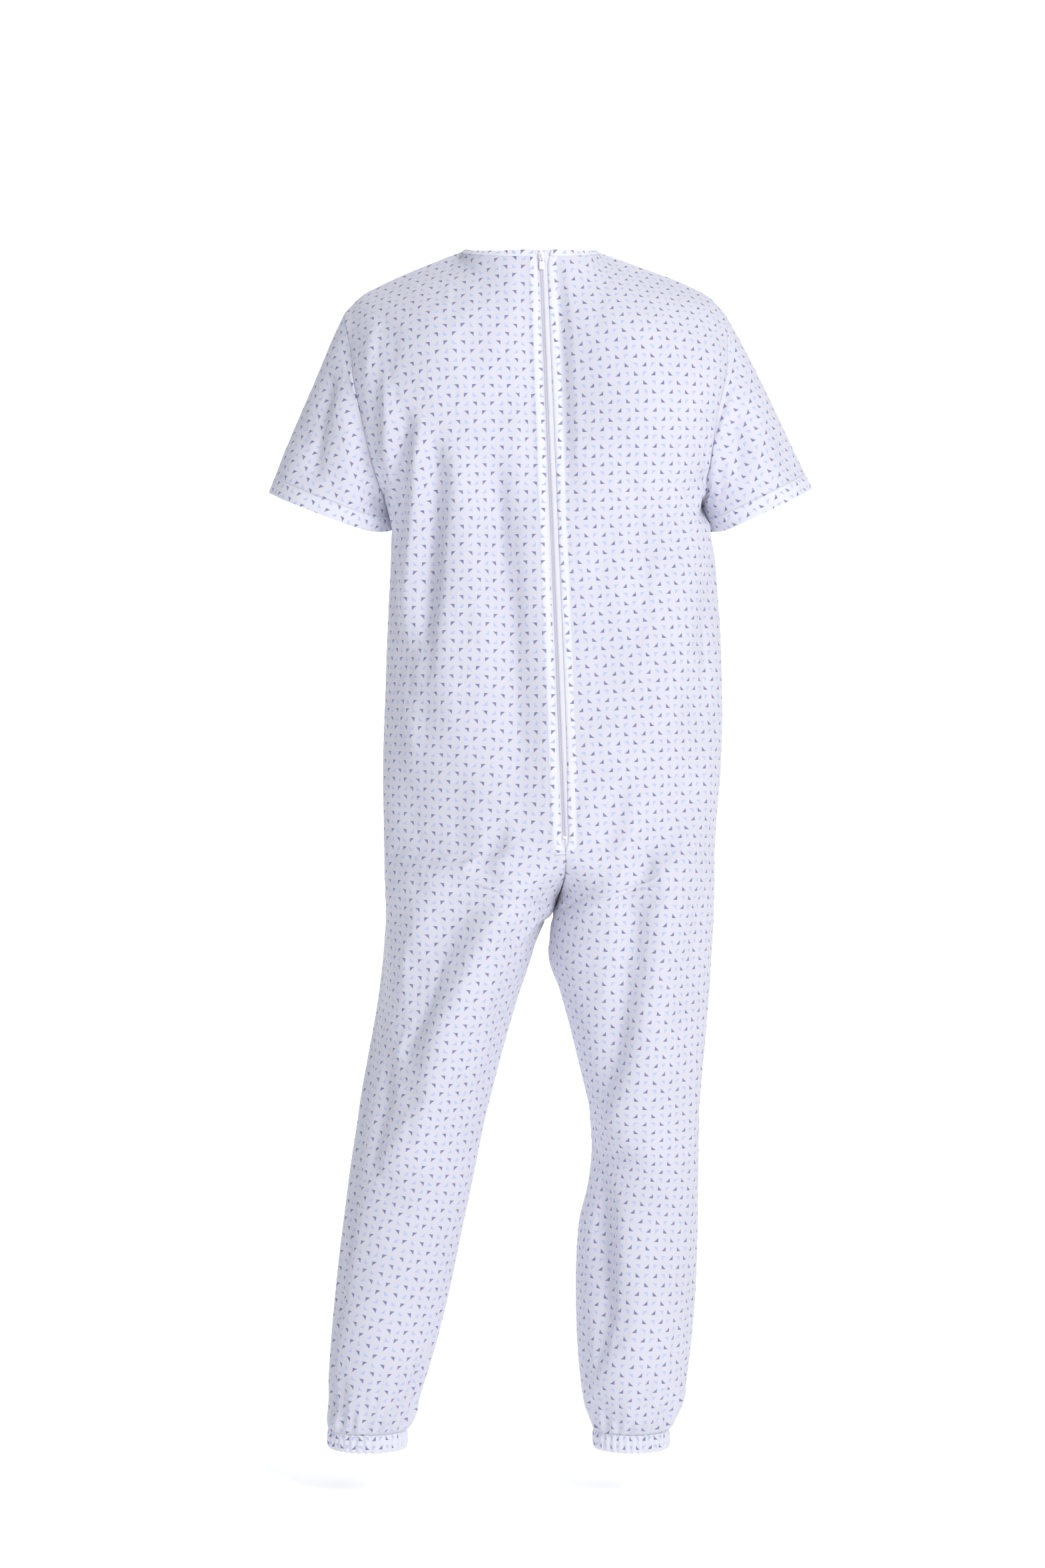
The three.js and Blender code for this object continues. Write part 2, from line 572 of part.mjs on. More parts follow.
// Pull: a flat tab whose top bar runs under the crown. Its own origin is the bar's centre, where
// it swings.
const PULL_THICKNESS = 0.9;
const PULL_LENGTH = 15.5;
const PULL_PIVOT = new THREE.Vector3(0, -4, SLIDER_CENTRE_Z - 1.4);
const BAR_HALF = 0.45;
const WINDOW = { halfWidth: 1.3, foot: -5 };
const PULL_TOP_HALF = 2.4;
const PULL_FOOT_HALF = 3.3;
const PULL_CORNER = 1.4;
const PULL_FLARE = { from: -5.8, to: -8 }; // where the tab widens

function pullGeometry() {
  const rightSide = [
    [PULL_TOP_HALF, BAR_HALF], [PULL_TOP_HALF, PULL_FLARE.from], [PULL_FOOT_HALF, PULL_FLARE.to],
    [PULL_FOOT_HALF, PULL_CORNER - PULL_LENGTH], [PULL_FOOT_HALF - PULL_CORNER, -PULL_LENGTH],
  ];
  const outline = [...rightSide, ...rightSide.map(([x, z]) => [-x, z]).reverse()];
  const tab = extrude(outline, PULL_THICKNESS).rotateX(QUARTER_TURN).translate(0, PULL_THICKNESS / 2, 0);
  const window = block([-WINDOW.halfWidth, -1, WINDOW.foot], [WINDOW.halfWidth, 1, -BAR_HALF]);
  return fromManifold(toManifold(tab).subtract(toManifold(window)));
}
add(zip, 'zip_pull', pullGeometry(), WHITE_ENAMEL).position.copy(PULL_PIVOT);

export default suit;
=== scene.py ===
"""One-piece patient suit with a back zip: cloth, zip and stage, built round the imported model."""

import math

import bmesh
import bpy
import numpy as np
from bpy.props import FloatProperty, FloatVectorProperty, IntProperty, PointerProperty
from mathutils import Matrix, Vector


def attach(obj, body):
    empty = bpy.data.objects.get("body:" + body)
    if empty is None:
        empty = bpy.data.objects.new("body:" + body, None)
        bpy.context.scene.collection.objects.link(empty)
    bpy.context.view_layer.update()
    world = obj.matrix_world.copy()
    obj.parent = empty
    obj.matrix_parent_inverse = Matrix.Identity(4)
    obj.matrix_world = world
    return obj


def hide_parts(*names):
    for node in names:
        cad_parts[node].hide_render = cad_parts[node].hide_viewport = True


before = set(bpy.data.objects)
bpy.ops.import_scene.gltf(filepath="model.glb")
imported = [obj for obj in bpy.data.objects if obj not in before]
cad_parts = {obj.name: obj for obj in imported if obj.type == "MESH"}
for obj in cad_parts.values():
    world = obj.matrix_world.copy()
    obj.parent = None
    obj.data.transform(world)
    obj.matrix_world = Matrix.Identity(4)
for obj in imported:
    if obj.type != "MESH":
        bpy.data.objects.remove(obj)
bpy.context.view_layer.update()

bl_info = {
    "name": "Patient suit",
    "version": (1, 0, 0),
    "blender": (4, 5, 0),
    "location": "View3D > Sidebar > Patient suit",
    "description": "Makes a one-piece patient suit with a zip down the back",
    "category": "Object",
}

# Shapes are worked out in millimetres, +Z up, with the wearer facing +Y. Meshes are in metres.
MM = 0.001
BODY = "suit"
QUARTER = math.pi / 2


# ------------------------------------------------------------------ the worn shape


def track(*stations):
    """Smooth curve through (place, value) stations that run from the top down."""
    place = -np.array([s[0] for s in stations], float)
    value = np.array([s[1] for s in stations], float)
    slope = np.empty_like(value)
    slope[1:-1] = (value[2:] - value[:-2]) / (place[2:] - place[:-2])
    slope[0] = (value[1] - value[0]) / (place[1] - place[0])
    slope[-1] = (value[-1] - value[-2]) / (place[-1] - place[-2])

    def at(z):
        p = np.clip(-np.asarray(z, float), place[0], place[-1])
        i = np.clip(np.searchsorted(place, p, side="right") - 1, 0, len(place) - 2)
        span = place[i + 1] - place[i]
        u = (p - place[i]) / span
        bend_in, bend_out = slope[i] * span, slope[i + 1] * span
        cubic = 2 * value[i] - 2 * value[i + 1] + bend_in + bend_out
        square = 3 * value[i + 1] - 3 * value[i] - 2 * bend_in - bend_out
        return ((cubic * u + square) * u + bend_in) * u + value[i]

    return at


def smoothstep(x, low, high):
    t = np.clip((np.asarray(x, float) - low) / (high - low), 0, 1)
    return t * t * (3 - 2 * t)


def lerp(a, b, t):
    return a + (b - a) * t


NECK_DEPTH_Y = -40.0
NECK_BACK_Y = -104.4
NECK_FRONT_Y = 45.0
NECK_FRONT_Z = -76.0
NECK_FRONT_X = -13.0
NECKBAND = 7.5
ARMPIT_Z = -312.0
ZIP_END_Z = -735.0
PANELS_MEET_Z = -742.0  # below the zip's foot the two back panels meet
CROTCH_Z = -820.0
CUFF_TOP_Z = -1466.0
CUFF_HEIGHT = 22.0
CUFF_INSET = 2.6  # from the leg's outline to the middle of the cuff's casing
ZIP_BAND = 22.0
SLEEVE_HEM = 20.0

middle_y = track((ARMPIT_Z, -18), (-480, -22), (ZIP_END_Z, -22), (-884, -28), (-1130, -12),
                 (-1300, -24), (CUFF_TOP_Z, -22))
back_depth = track((ZIP_END_Z, 127.4), (CROTCH_Z, 114), (-884, 104), (-1000, 95), (-1130, 84),
                   (-1300, 84), (-1400, 74), (-1440, 62), (CUFF_TOP_Z, 49))
front_depth = track((ARMPIT_Z, 116), (-480, 114), (-640, 114), (ZIP_END_Z, 107), (-884, 92),
                    (-1000, 87), (-1130, 84), (-1300, 70), (-1400, 64), (-1440, 56), (CUFF_TOP_Z, 48))
squareness = track((ARMPIT_Z, 2.5), (ZIP_END_Z, 2.4), (-884, 2.15), (CUFF_TOP_Z, 2))
lower_middle_x = track((ZIP_END_Z, 29), (-775, 29), (CROTCH_Z, 17))
front_middle_x = track((NECK_FRONT_Z, NECK_FRONT_X), (ARMPIT_Z, 0), (-500, 14), (ZIP_END_Z, 29),
                       (-775, 29), (CROTCH_Z, 17))


def zip_line_x(z):
    return -np.asarray(z, float) * 29 / 735


def zip_line_y(z):
    return NECK_BACK_Y + np.asarray(z, float) * 45 / 735


def back_middle_x(z):
    return np.where(np.asarray(z) > ZIP_END_Z, zip_line_x(z), lower_middle_x(z))


class Half:
    """The outlines of one half of the suit. `out` is the side seam's direction along X."""

    def __init__(self, name, out, neck_x, tip, rise, armhole_x, hem_outer, hem_inner, zip_edge,
                 side_x, inseam_x):
        self.name, self.out, self.neck_x = name, out, neck_x
        self.tip, self.rise, self.armhole_x = np.array(tip, float), rise, armhole_x
        self.hem_outer, self.hem_inner = np.array(hem_outer, float), np.array(hem_inner, float)
        self.edge_track, self.side_x, self.inseam_x = zip_edge, side_x, inseam_x

    def zip_edge(self, z):
        """Distance of the panel's edge from the middle of the zip; none below the zip's end."""
        return np.where(np.asarray(z) > PANELS_MEET_Z, np.maximum(self.edge_track(z), 0), 0.0)


LEFT = Half(
    "left", -1, -98, (-243, -17, -79),
    track((0, -3), (-0.1, -8), (-0.29, -19), (-0.46, -29), (-0.7, -45), (-0.85, -57), (-1, -79)),
    track((-79, -243), (-142, -236), (-198, -224), (-282, -204), (ARMPIT_Z, -196)),
    (-343, -15, -300), (-199, -15, -354), track((0, 4.2), (-728, 4.2), (PANELS_MEET_Z, 0), (CROTCH_Z, 0)),
    track((ARMPIT_Z, -196), (-345, -191), (-455, -192), (-554, -194), (-650, -199), (-752, -197),
          (-851, -194), (-950, -203), (-1082, -232), (-1247, -256), (-1379, -270), (-1430, -271),
          (CUFF_TOP_Z, -266)),
    track((CROTCH_Z, 17), (-845, 2), (-884, -13), (-950, -38), (-1049, -62), (-1148, -81),
          (-1247, -103), (-1346, -125), (-1412, -144), (-1445, -157), (CUFF_TOP_Z, -168)),
)
RIGHT = Half(
    "right", 1, 72, (229, -17, -82),
    track((0, -4), (-0.22, -16), (-0.43, -28), (-0.6, -38), (-0.78, -51), (-0.88, -61), (-1, -82)),
    track((-82, 229), (-142, 232), (-198, 221), (-282, 207), (ARMPIT_Z, 204)),
    (343, -15, -293), (215, -15, -353),
    track((0, 7), (-600, 7), (-700, 4.4), (-728, 4.2), (PANELS_MEET_Z, 0), (CROTCH_Z, 0)),
    track((ARMPIT_Z, 204), (-345, 213), (-455, 224), (-554, 227), (-640, 226), (-752, 221),
          (-851, 219), (-983, 213), (-1115, 205), (-1247, 200), (-1346, 193), (-1412, 184),
          (-1440, 172), (CUFF_TOP_Z, 160)),
    track((CROTCH_Z, 17), (-845, 13), (-884, 14), (-917, 26), (-983, 44), (-1049, 59),
          (-1115, 71), (-1160, 66), (-1214, 50), (-1313, 45), (-1412, 51), (CUFF_TOP_Z, 66)),
)
HALVES = (LEFT, RIGHT)

# Grid of the cloth: columns from the middle seam to the side seam, rows from the top down.
BAND_SHARE = 0.1  # share of a back panel's columns' range that lies in the flat band by the zip
NECK_SHARE = 0.4  # share that ends on the neckline
NECK_COLUMN = 11  # the column that ends at the corner of neckline and shoulder seam
TO_SIDE = np.linspace(NECK_SHARE, 1, 18)[1:]
BACK_COLUMNS = np.concatenate([
    np.linspace(0, BAND_SHARE, 3), np.linspace(BAND_SHARE, NECK_SHARE, 10)[1:], TO_SIDE])
FRONT_COLUMNS = np.concatenate([np.linspace(0, NECK_SHARE, NECK_COLUMN + 1), TO_SIDE])
UPPER_ROWS = 30
LOWER_ROWS = 122


def signed_power(value, power):
    return np.sign(value) * np.abs(value) ** power


def leg_wrap(z):
    """How far a row has closed round its own leg: 0 on the torso, 1 below the crotch."""
    return smoothstep(-np.asarray(z, float), -ZIP_END_Z, -CROTCH_Z)


def lower_rows(half, is_back, z, columns, inset=0.0):
    """Level rows of one panel at heights z (n, 1), pulled in by inset towards the body."""
    wrap = leg_wrap(z)
    power = 2 / squareness(z)
    side = half.side_x(z) - half.out * inset
    middle = back_middle_x(z) if is_back else front_middle_x(z)
    edge = np.where(z > CROTCH_Z, middle, half.inseam_x(z) + half.out * inset)
    torso_width = np.abs(side - middle)
    even = lerp(-QUARTER * wrap, QUARTER, columns)
    if is_back:
        band = np.arcsin((ZIP_BAND / torso_width) ** (squareness(z) / 2))
        share = np.clip((columns - BAND_SHARE) / (1 - BAND_SHARE), 0, 1)
        inside = np.clip(columns / BAND_SHARE, 0, 1)
        inner = np.arcsin(np.clip(ZIP_BAND * inside / torso_width, 0, 1) ** (squareness(z) / 2))
        inner = inner - QUARTER * wrap * (1 - inside)
        banded = np.where(columns < BAND_SHARE, inner, lerp(band, QUARTER, share))
        angle = lerp(banded, even, wrap)
    else:
        angle = math.pi - even
    width = np.abs(side - edge) / (1 + np.sin(QUARTER * wrap) ** power)
    centre_x = side - half.out * width
    centre_y = middle_y(z)
    depth = front_depth(z)
    if is_back:
        depth = np.where(z > ZIP_END_Z, centre_y - zip_line_y(z), back_depth(z))
    depth = depth - inset
    x = centre_x + half.out * width * signed_power(np.sin(angle), power)
    y = centre_y - depth * signed_power(np.cos(angle), power)
    if is_back:
        opening = half.out * half.zip_edge(z) * np.clip(1 - columns / BAND_SHARE, 0, 1)
        x = np.where(z > CROTCH_Z, x + opening, x)
        flat = (z > ZIP_END_Z) & (columns <= BAND_SHARE + 1e-6) & (inset == 0)
        y = np.where(flat, zip_line_y(z), y)
    return np.stack(np.broadcast_arrays(x, y, z), axis=-1)


def armhole_point(half, is_back, along):
    """Half of the armhole: 0 at the shoulder tip, 1 at the armpit."""
    mid_z = (half.tip[2] + ARMPIT_Z) / 2
    z = mid_z + (half.tip[2] - mid_z) * np.cos(math.pi * along)
    y = half.tip[1] + (-65 if is_back else 62) * np.sin(math.pi * along)
    return np.stack([half.armhole_x(z), y, z], axis=-1)


def top_edge(half, is_back, columns):
    """The upper edge of a panel: the neckline, then the shoulder seam to its tip."""
    neck = np.array([half.neck_x, NECK_DEPTH_Y, float(half.rise(0))])
    share = np.clip((columns - NECK_SHARE) / (1 - NECK_SHARE), 0, 1)[:, None]
    shoulder = lerp(neck, half.tip, share)
    shoulder[:, 2] = half.rise(-share[:, 0])
    if is_back:
        turn = QUARTER * np.clip((columns - BAND_SHARE) / (NECK_SHARE - BAND_SHARE), 0, 1)
        x = lerp(half.out * ZIP_BAND, half.neck_x, np.sin(turn))
        in_band = np.clip(columns / BAND_SHARE, 0, 1)
        x = np.where(columns < BAND_SHARE, half.out * lerp(half.zip_edge(0), ZIP_BAND, in_band), x)
        y = lerp(NECK_DEPTH_Y, NECK_BACK_Y, np.cos(turn))
        z = lerp(neck[2], -NECKBAND, np.cos(turn))
    else:
        turn = QUARTER * np.clip(columns / NECK_SHARE, 0, 1)
        x = lerp(NECK_FRONT_X, half.neck_x, np.sin(turn))
        y = lerp(NECK_DEPTH_Y, NECK_FRONT_Y, np.cos(turn))
        z = lerp(neck[2], NECK_FRONT_Z, np.cos(turn) ** 2)
    neckline = np.stack([x, y, z], axis=-1)
    return np.where((columns < NECK_SHARE)[:, None], neckline, shoulder)


def upper_rows(half, is_back, columns):
    """Rows above the armpit, filling the space between top edge, armhole, middle and first row."""
    top = top_edge(half, is_back, columns)[None]
    bottom = lower_rows(half, is_back, np.array([[ARMPIT_Z]]), columns)
    q = (np.arange(UPPER_ROWS) / UPPER_ROWS)[:, None, None]
    s = columns[None, :, None]
    middle = lerp(top[:, :1], bottom[:, :1], q)
    side = armhole_point(half, is_back, q[:, 0, 0])[:, None]
    straight = lerp(middle, lerp(top[:, -1:], bottom[:, -1:], q), s)
    rows = lerp(top, bottom, q) + lerp(middle, side, s) - straight
    if is_back:  # the curve of the neckline dies out a little way down, and the blades are flat
        out = np.clip((columns - BAND_SHARE) / (1 - BAND_SHARE), 0, 1)
        flat = lerp(NECK_BACK_Y, half.tip[1], out ** 2)
        rows[..., 1] += (flat - top[..., 1]) * smoothstep(q[..., 0], 0, 0.34) * (1 - q[..., 0])
    bulge = -9 if is_back else 16
    rows[..., 1] += bulge * np.sin(math.pi * s[..., 0]) * np.sin(math.pi * q[..., 0]) ** 0.8
    if is_back:
        z = rows[..., 2]
        band = np.broadcast_to(columns <= BAND_SHARE + 1e-6, z.shape)
        across = half.out * lerp(half.zip_edge(z), ZIP_BAND, np.clip(columns / BAND_SHARE, 0, 1))
        rows[..., 0] = np.where(band, zip_line_x(z) + across, rows[..., 0])
        rows[..., 1] = np.where(band, zip_line_y(z), rows[..., 1])
    return rows


def panel_grid(half, is_back):
    """The coarse grid of one body panel, from its top edge to the top of the cuff."""
    columns = BACK_COLUMNS if is_back else FRONT_COLUMNS
    z = np.linspace(ARMPIT_Z, CUFF_TOP_Z, LOWER_ROWS)[:, None]
    grid = np.concatenate([upper_rows(half, is_back, columns), lower_rows(half, is_back, z, columns)])
    # The two meet at the armpit with a crease, which is eased over the rows on both sides of it.
    rows = np.arange(len(grid))[:, None]
    ease = smoothstep(14 - np.abs(rows - UPPER_ROWS), 0, 8)
    ease = ease * smoothstep(columns, BAND_SHARE, BAND_SHARE + 0.1)
    ease = ease * smoothstep(1 - columns, 0, 0.04)
    for _ in range(14):
        around = (grid[:-2] + grid[2:]) / 2
        grid[1:-1] = lerp(grid[1:-1], around, 0.5 * ease[1:-1][..., None])
    # Below the end of the neckline the columns run on evenly from one side of it to the other.
    ease = smoothstep(rows, 0, 5) * (1 - smoothstep(rows, 16, 24))
    ease = ease * smoothstep(columns, BAND_SHARE + 0.02, BAND_SHARE + 0.12) * smoothstep(0.85 - columns, 0, 0.15)
    for _ in range(24):
        around = (grid[:, :-2] + grid[:, 2:]) / 2
        grid[:, 1:-1] = lerp(grid[:, 1:-1], around, 0.5 * ease[:, 1:-1][..., None])
    return grid


SLEEVE_ROWS = 22


def sleeve_grid(half):
    """Rows from the armhole to the hem line; columns run over the back and round the front."""
    centre = (half.hem_outer + half.hem_inner) / 2
    to_outer = half.hem_outer - centre
    to_back = np.array([0.0, -62.0, 0.0])
    along = np.arange(UPPER_ROWS + 1) / UPPER_ROWS
    back = armhole_point(half, True, along)
    front = armhole_point(half, False, along[::-1])[1:-1]
    armhole = np.concatenate([back, front])
    turn = 2 * math.pi * np.arange(len(armhole)) / len(armhole)
    hem = centre + to_outer * np.cos(turn)[:, None] + to_back * np.sin(turn)[:, None]
    t = (np.arange(SLEEVE_ROWS + 1) / SLEEVE_ROWS)[:, None, None]
    return lerp(armhole[None], hem[None], t)


# ------------------------------------------------------------------ folds shaped one by one


def fold_height(x, z, path, height, left, right, ends=(0.2, 0.2)):
    """Height over the cloth of one fold along a path of (x, z) points, seen from behind.

    left and right are its half-widths on either side, so that one face can be steeper, and ends
    are the shares of its length over which it fades in and out."""
    points = np.array(path, float)
    steps = np.linalg.norm(np.diff(points, axis=0), axis=1)
    total = steps.sum()
    nearest = np.full(x.shape, 1e9)
    along = np.zeros(x.shape)
    offset = np.zeros(x.shape)
    walked = 0.0
    for a, b, step in zip(points[:-1], points[1:], steps):
        direction = (b - a) / step
        t = np.clip((x - a[0]) * direction[0] + (z - a[1]) * direction[1], 0, step)
        dx, dz = x - a[0] - t * direction[0], z - a[1] - t * direction[1]
        distance = np.hypot(dx, dz)
        closer = distance < nearest
        nearest = np.where(closer, distance, nearest)
        along = np.where(closer, (walked + t) / total, along)
        side = dx * -direction[1] + dz * direction[0]
        offset = np.where(closer, np.sign(side), offset)
        walked += step
    # Paths run downwards, so a negative side of the path is on the viewer's left.
    width = np.where(offset < 0, left, right)
    fade = smoothstep(along, 0, max(ends[0], 1e-3)) * smoothstep(1 - along, 0, max(ends[1], 1e-3))
    return height * fade * np.exp(-((nearest / width) ** 2))


# Folds of the back: path, height (a valley is negative), width to the left and to the right.
BACK_FOLDS = (
    # the long valley that meets the zip from the left
    (((-64, -215), (-55, -300), (-46, -370), (-34, -440), (-22, -520), (-11, -600), (-3, -680), (4, -740)),
     -21, 32, 13, (0.2, 0.1)),
    # edge of the left flank, and the narrow ridge and valleys that run down from the armhole
    (((-112, -200), (-116, -280), (-118, -400), (-126, -520), (-134, -640), (-136, -720)),
     9, 13, 40, (0.15, 0.3)),
    (((-124, -215), (-131, -300), (-140, -400), (-150, -520)), -15, 12, 14, (0.2, 0.35)),
    (((-148, -190), (-155, -290), (-164, -390), (-176, -520)), 12, 9, 10, (0.2, 0.3)),
    (((-163, -180), (-172, -260), (-180, -340), (-186, -440)), -11, 11, 9, (0.2, 0.4)),
    (((-150, -470), (-158, -580), (-163, -690)), 7, 11, 14, (0.3, 0.4)),
    (((-191, -140), (-190, -210), (-189, -285)), 8, 9, 8, (0.3, 0.4)),
    (((-203, -105), (-204, -150), (-201, -210), (-203, -270)), -6, 8, 7, (0.3, 0.3)),
    (((-208, -85), (-213, -130), (-212, -175)), 4, 6, 6, (0.3, 0.3)),
    (((-182, -100), (-188, -140), (-187, -185)), -4, 6, 7, (0.3, 0.3)),
    # soft drapes on the left and right of the back
    (((-92, -330), (-94, -430), (-90, -540), (-97, -680)), -4, 20, 16, (0.3, 0.4)),
    (((68, -300), (70, -400), (72, -500), (66, -610)), -5, 20, 20, (0.3, 0.4)),
    (((96, -200), (112, -280), (124, -350), (132, -450)), -4, 14, 12, (0.3, 0.4)),
    (((128, -210), (140, -290), (150, -380)), -3, 12, 10, (0.3, 0.4)),
    (((172, -330), (168, -450), (176, -600), (172, -680)), 4, 26, 22, (0.3, 0.3)),
    (((206, -360), (204, -480), (209, -600)), -5, 10, 10, (0.3, 0.3)),
    (((205, -265), (211, -300), (207, -345)), -8, 9, 8, (0.2, 0.4)),
    (((214, -110), (218, -150), (213, -190)), 3, 8, 6, (0.3, 0.3)),
    # folds of the seat
    (((112, -640), (110, -700), (98, -745), (70, -790), (52, -830)), 8, 11, 24, (0.25, 0.3)),
    (((92, -700), (78, -745), (56, -780)), -7, 14, 10, (0.3, 0.3)),
    (((-42, -690), (-52, -730), (-62, -790), (-80, -840)), -9, 14, 12, (0.3, 0.3)),
    (((-96, -630), (-104, -700), (-100, -765)), -4, 9, 9, (0.3, 0.3)),
    (((-74, -640), (-78, -700), (-70, -750)), 3, 9, 9, (0.3, 0.3)),
    (((30, -700), (44, -728), (60, -742)), -4, 8, 8, (0.3, 0.3)),
    # ridge across the left thigh to the outside of the knee, with the hollow beside it
    (((-22, -690), (-54, -785), (-76, -850), (-104, -910), (-131, -970), (-152, -1050), (-178, -1105),
      (-214, -1155)), 17, 15, 44, (0.15, 0.12)),
    (((-84, -770), (-108, -840), (-138, -910), (-168, -985), (-190, -1060)), -16, 26, 20, (0.3, 0.3)),
    (((-210, -1150), (-221, -1210), (-232, -1300), (-246, -1380), (-256, -1430)), 7, 14, 46, (0.1, 0.2)),
    (((-96, -1010), (-110, -1060), (-124, -1110)), -3, 14, 14, (0.3, 0.3)),
    (((-205, -1150), (-170, -1168), (-130, -1160)), -4, 12, 14, (0.2, 0.4)),
    # ridges of the right leg: shaded inner thigh, break behind the knee, inner calf
    (((151, -680), (146, -760), (138, -850), (129, -910), (119, -970), (110, -1030), (96, -1078), (78, -1118)),
     14, 15, 46, (0.2, 0.12)),
    (((128, -740), (118, -830), (108, -920), (98, -1000), (84, -1060)), -13, 18, 15, (0.3, 0.3)),
    (((97, -770), (92, -840), (94, -920)), 5, 10, 11, (0.3, 0.3)),
    (((76, -1122), (104, -1128), (136, -1148), (160, -1178)), -6, 14, 13, (0.15, 0.4)),
    (((74, -1104), (112, -1106), (150, -1118)), 3, 12, 10, (0.2, 0.4)),
    (((112, -1150), (102, -1200), (104, -1240), (116, -1290), (98, -1350), (80, -1400), (72, -1440)),
     9, 16, 44, (0.2, 0.2)),
    (((90, -1170), (80, -1240), (84, -1310), (68, -1370)), -7, 16, 14, (0.3, 0.3)),
    (((160, -1080), (156, -1140), (160, -1200)), -2, 14, 14, (0.3, 0.3)),
)

# Folds of the front, which hangs from the chest and shoulders.
FRONT_FOLDS = (
    (((-60, -110), (-74, -220), (-70, -360), (-78, -520)), 5, 22, 24, (0.3, 0.4)),
    (((-120, -150), (-132, -260), (-128, -400), (-140, -560), (-138, -680)), 7, 18, 22, (0.3, 0.4)),
    (((-98, -240), (-104, -380), (-108, -520), (-112, -640)), -8, 18, 18, (0.3, 0.4)),
    (((-166, -220), (-164, -340), (-160, -480)), -9, 13, 15, (0.3, 0.4)),
    (((-190, -130), (-186, -200), (-180, -270)), 6, 10, 10, (0.3, 0.4)),
    (((-170, -120), (-164, -190), (-150, -250)), -5, 10, 10, (0.3, 0.4)),
    (((46, -130), (60, -260), (64, -400), (58, -560)), 5, 24, 22, (0.3, 0.4)),
    (((112, -160), (128, -280), (134, -420), (140, -580), (136, -690)), 7, 22, 18, (0.3, 0.4)),
    (((90, -250), (98, -380), (104, -520), (100, -640)), -8, 18, 18, (0.3, 0.4)),
    (((170, -230), (172, -350), (176, -500)), -8, 14, 13, (0.3, 0.4)),
    (((186, -140), (184, -210), (180, -280)), 6, 10, 10, (0.3, 0.4)),
    (((-8, -420), (6, -560), (16, -680)), -4, 26, 26, (0.3, 0.4)),
    (((-30, -640), (0, -700), (20, -760)), -7, 12, 14, (0.3, 0.2)),
    (((90, -640), (62, -700), (38, -765)), -7, 14, 12, (0.3, 0.2)),
    (((-90, -700), (-40, -745), (4, -790)), 6, 14, 16, (0.3, 0.2)),
    (((140, -690), (90, -745), (44, -795)), 6, 16, 14, (0.3, 0.2)),
    (((-60, -830), (-96, -950), (-140, -1060), (-176, -1140)), 9, 24, 30, (0.3, 0.3)),
    (((-120, -860), (-156, -980), (-190, -1080)), -8, 20, 20, (0.3, 0.3)),
    (((-200, -1130), (-160, -1120), (-110, -1135)), 6, 16, 14, (0.3, 0.3)),
    (((-206, -1180), (-190, -1260), (-200, -1340), (-220, -1420)), 7, 26, 30, (0.3, 0.3)),
    (((-150, -1200), (-150, -1290), (-176, -1380)), -6, 18, 18, (0.3, 0.3)),
    (((80, -840), (104, -950), (128, -1050), (136, -1130)), 8, 28, 26, (0.3, 0.3)),
    (((150, -860), (162, -970), (170, -1070)), -7, 18, 20, (0.3, 0.3)),
    (((90, -1120), (130, -1112), (176, -1128)), 6, 14, 16, (0.3, 0.3)),
    (((140, -1180), (134, -1270), (126, -1350), (116, -1430)), 7, 28, 26, (0.3, 0.3)),
    (((88, -1190), (82, -1280), (90, -1380)), -6, 16, 18, (0.3, 0.3)),
)


# Folds of the sleeves: broad ones before the cloth settles, then small creases at the armholes.
SLEEVE_FOLDS = {
    "left": (
        (((-258, -140), (-268, -200), (-276, -250), (-282, -296)), -9, 14, 10, (0.2, 0.2)),
        (((-244, -170), (-240, -230), (-236, -290), (-230, -335)), 6, 18, 13, (0.3, 0.3)),
        (((-300, -230), (-312, -270), (-322, -300)), 4, 14, 12, (0.3, 0.3)),
        (((-212, -230), (-206, -280), (-200, -340)), -6, 8, 9, (0.2, 0.2)),
    ),
    "right": (
        (((252, -160), (262, -210), (272, -260), (280, -300)), 5, 13, 18, (0.3, 0.3)),
        (((236, -190), (240, -240), (248, -300)), -6, 9, 12, (0.2, 0.3)),
        (((222, -240), (222, -290), (224, -340)), -1.5, 7, 8, (0.2, 0.2)),
        (((300, -220), (310, -270), (318, -300)), -3, 14, 14, (0.3, 0.3)),
    ),
}
SLEEVE_CREASES = {
    "left": (
        (((-240, -140), (-226, -178), (-208, -221)), 3.0, 5, 3.5, (0.3, 0.1)),
        (((-231, -140), (-219, -175), (-207, -214)), -2.6, 3.5, 3.5, (0.3, 0.1)),
        (((-222, -118), (-213, -160), (-206, -208)), 3.2, 4.5, 3.5, (0.3, 0.1)),
        (((-213, -120), (-208, -165), (-205, -205)), -2.6, 3.5, 3.5, (0.3, 0.1)),
        (((-262, -190), (-236, -205), (-210, -224)), -1.6, 5, 5, (0.4, 0.1)),
    ),
    "right": (
        (((246, -150), (234, -190), (218, -232)), 2.2, 4, 5, (0.3, 0.1)),
        (((237, -150), (227, -188), (215, -225)), -2.0, 3.5, 3.5, (0.3, 0.1)),
        (((262, -200), (240, -216), (220, -236)), -1.4, 5, 5, (0.4, 0.1)),
    ),
}


def grid_normals(grid, out, closed=False):
    """Unit normals of a grid of points that face away from the body.

    The last column of a closed grid repeats its first."""
    if closed:
        looped = np.concatenate([grid[:, -2:-1], grid, grid[:, 1:2]], axis=1)
        return grid_normals(looped, out)[:, 1:-1]
    across = np.gradient(grid, axis=1)
    down = np.gradient(grid, axis=0)
    normal = np.cross(across, down)
    normal /= np.maximum(np.linalg.norm(normal, axis=-1, keepdims=True), 1e-9)
    return normal * out


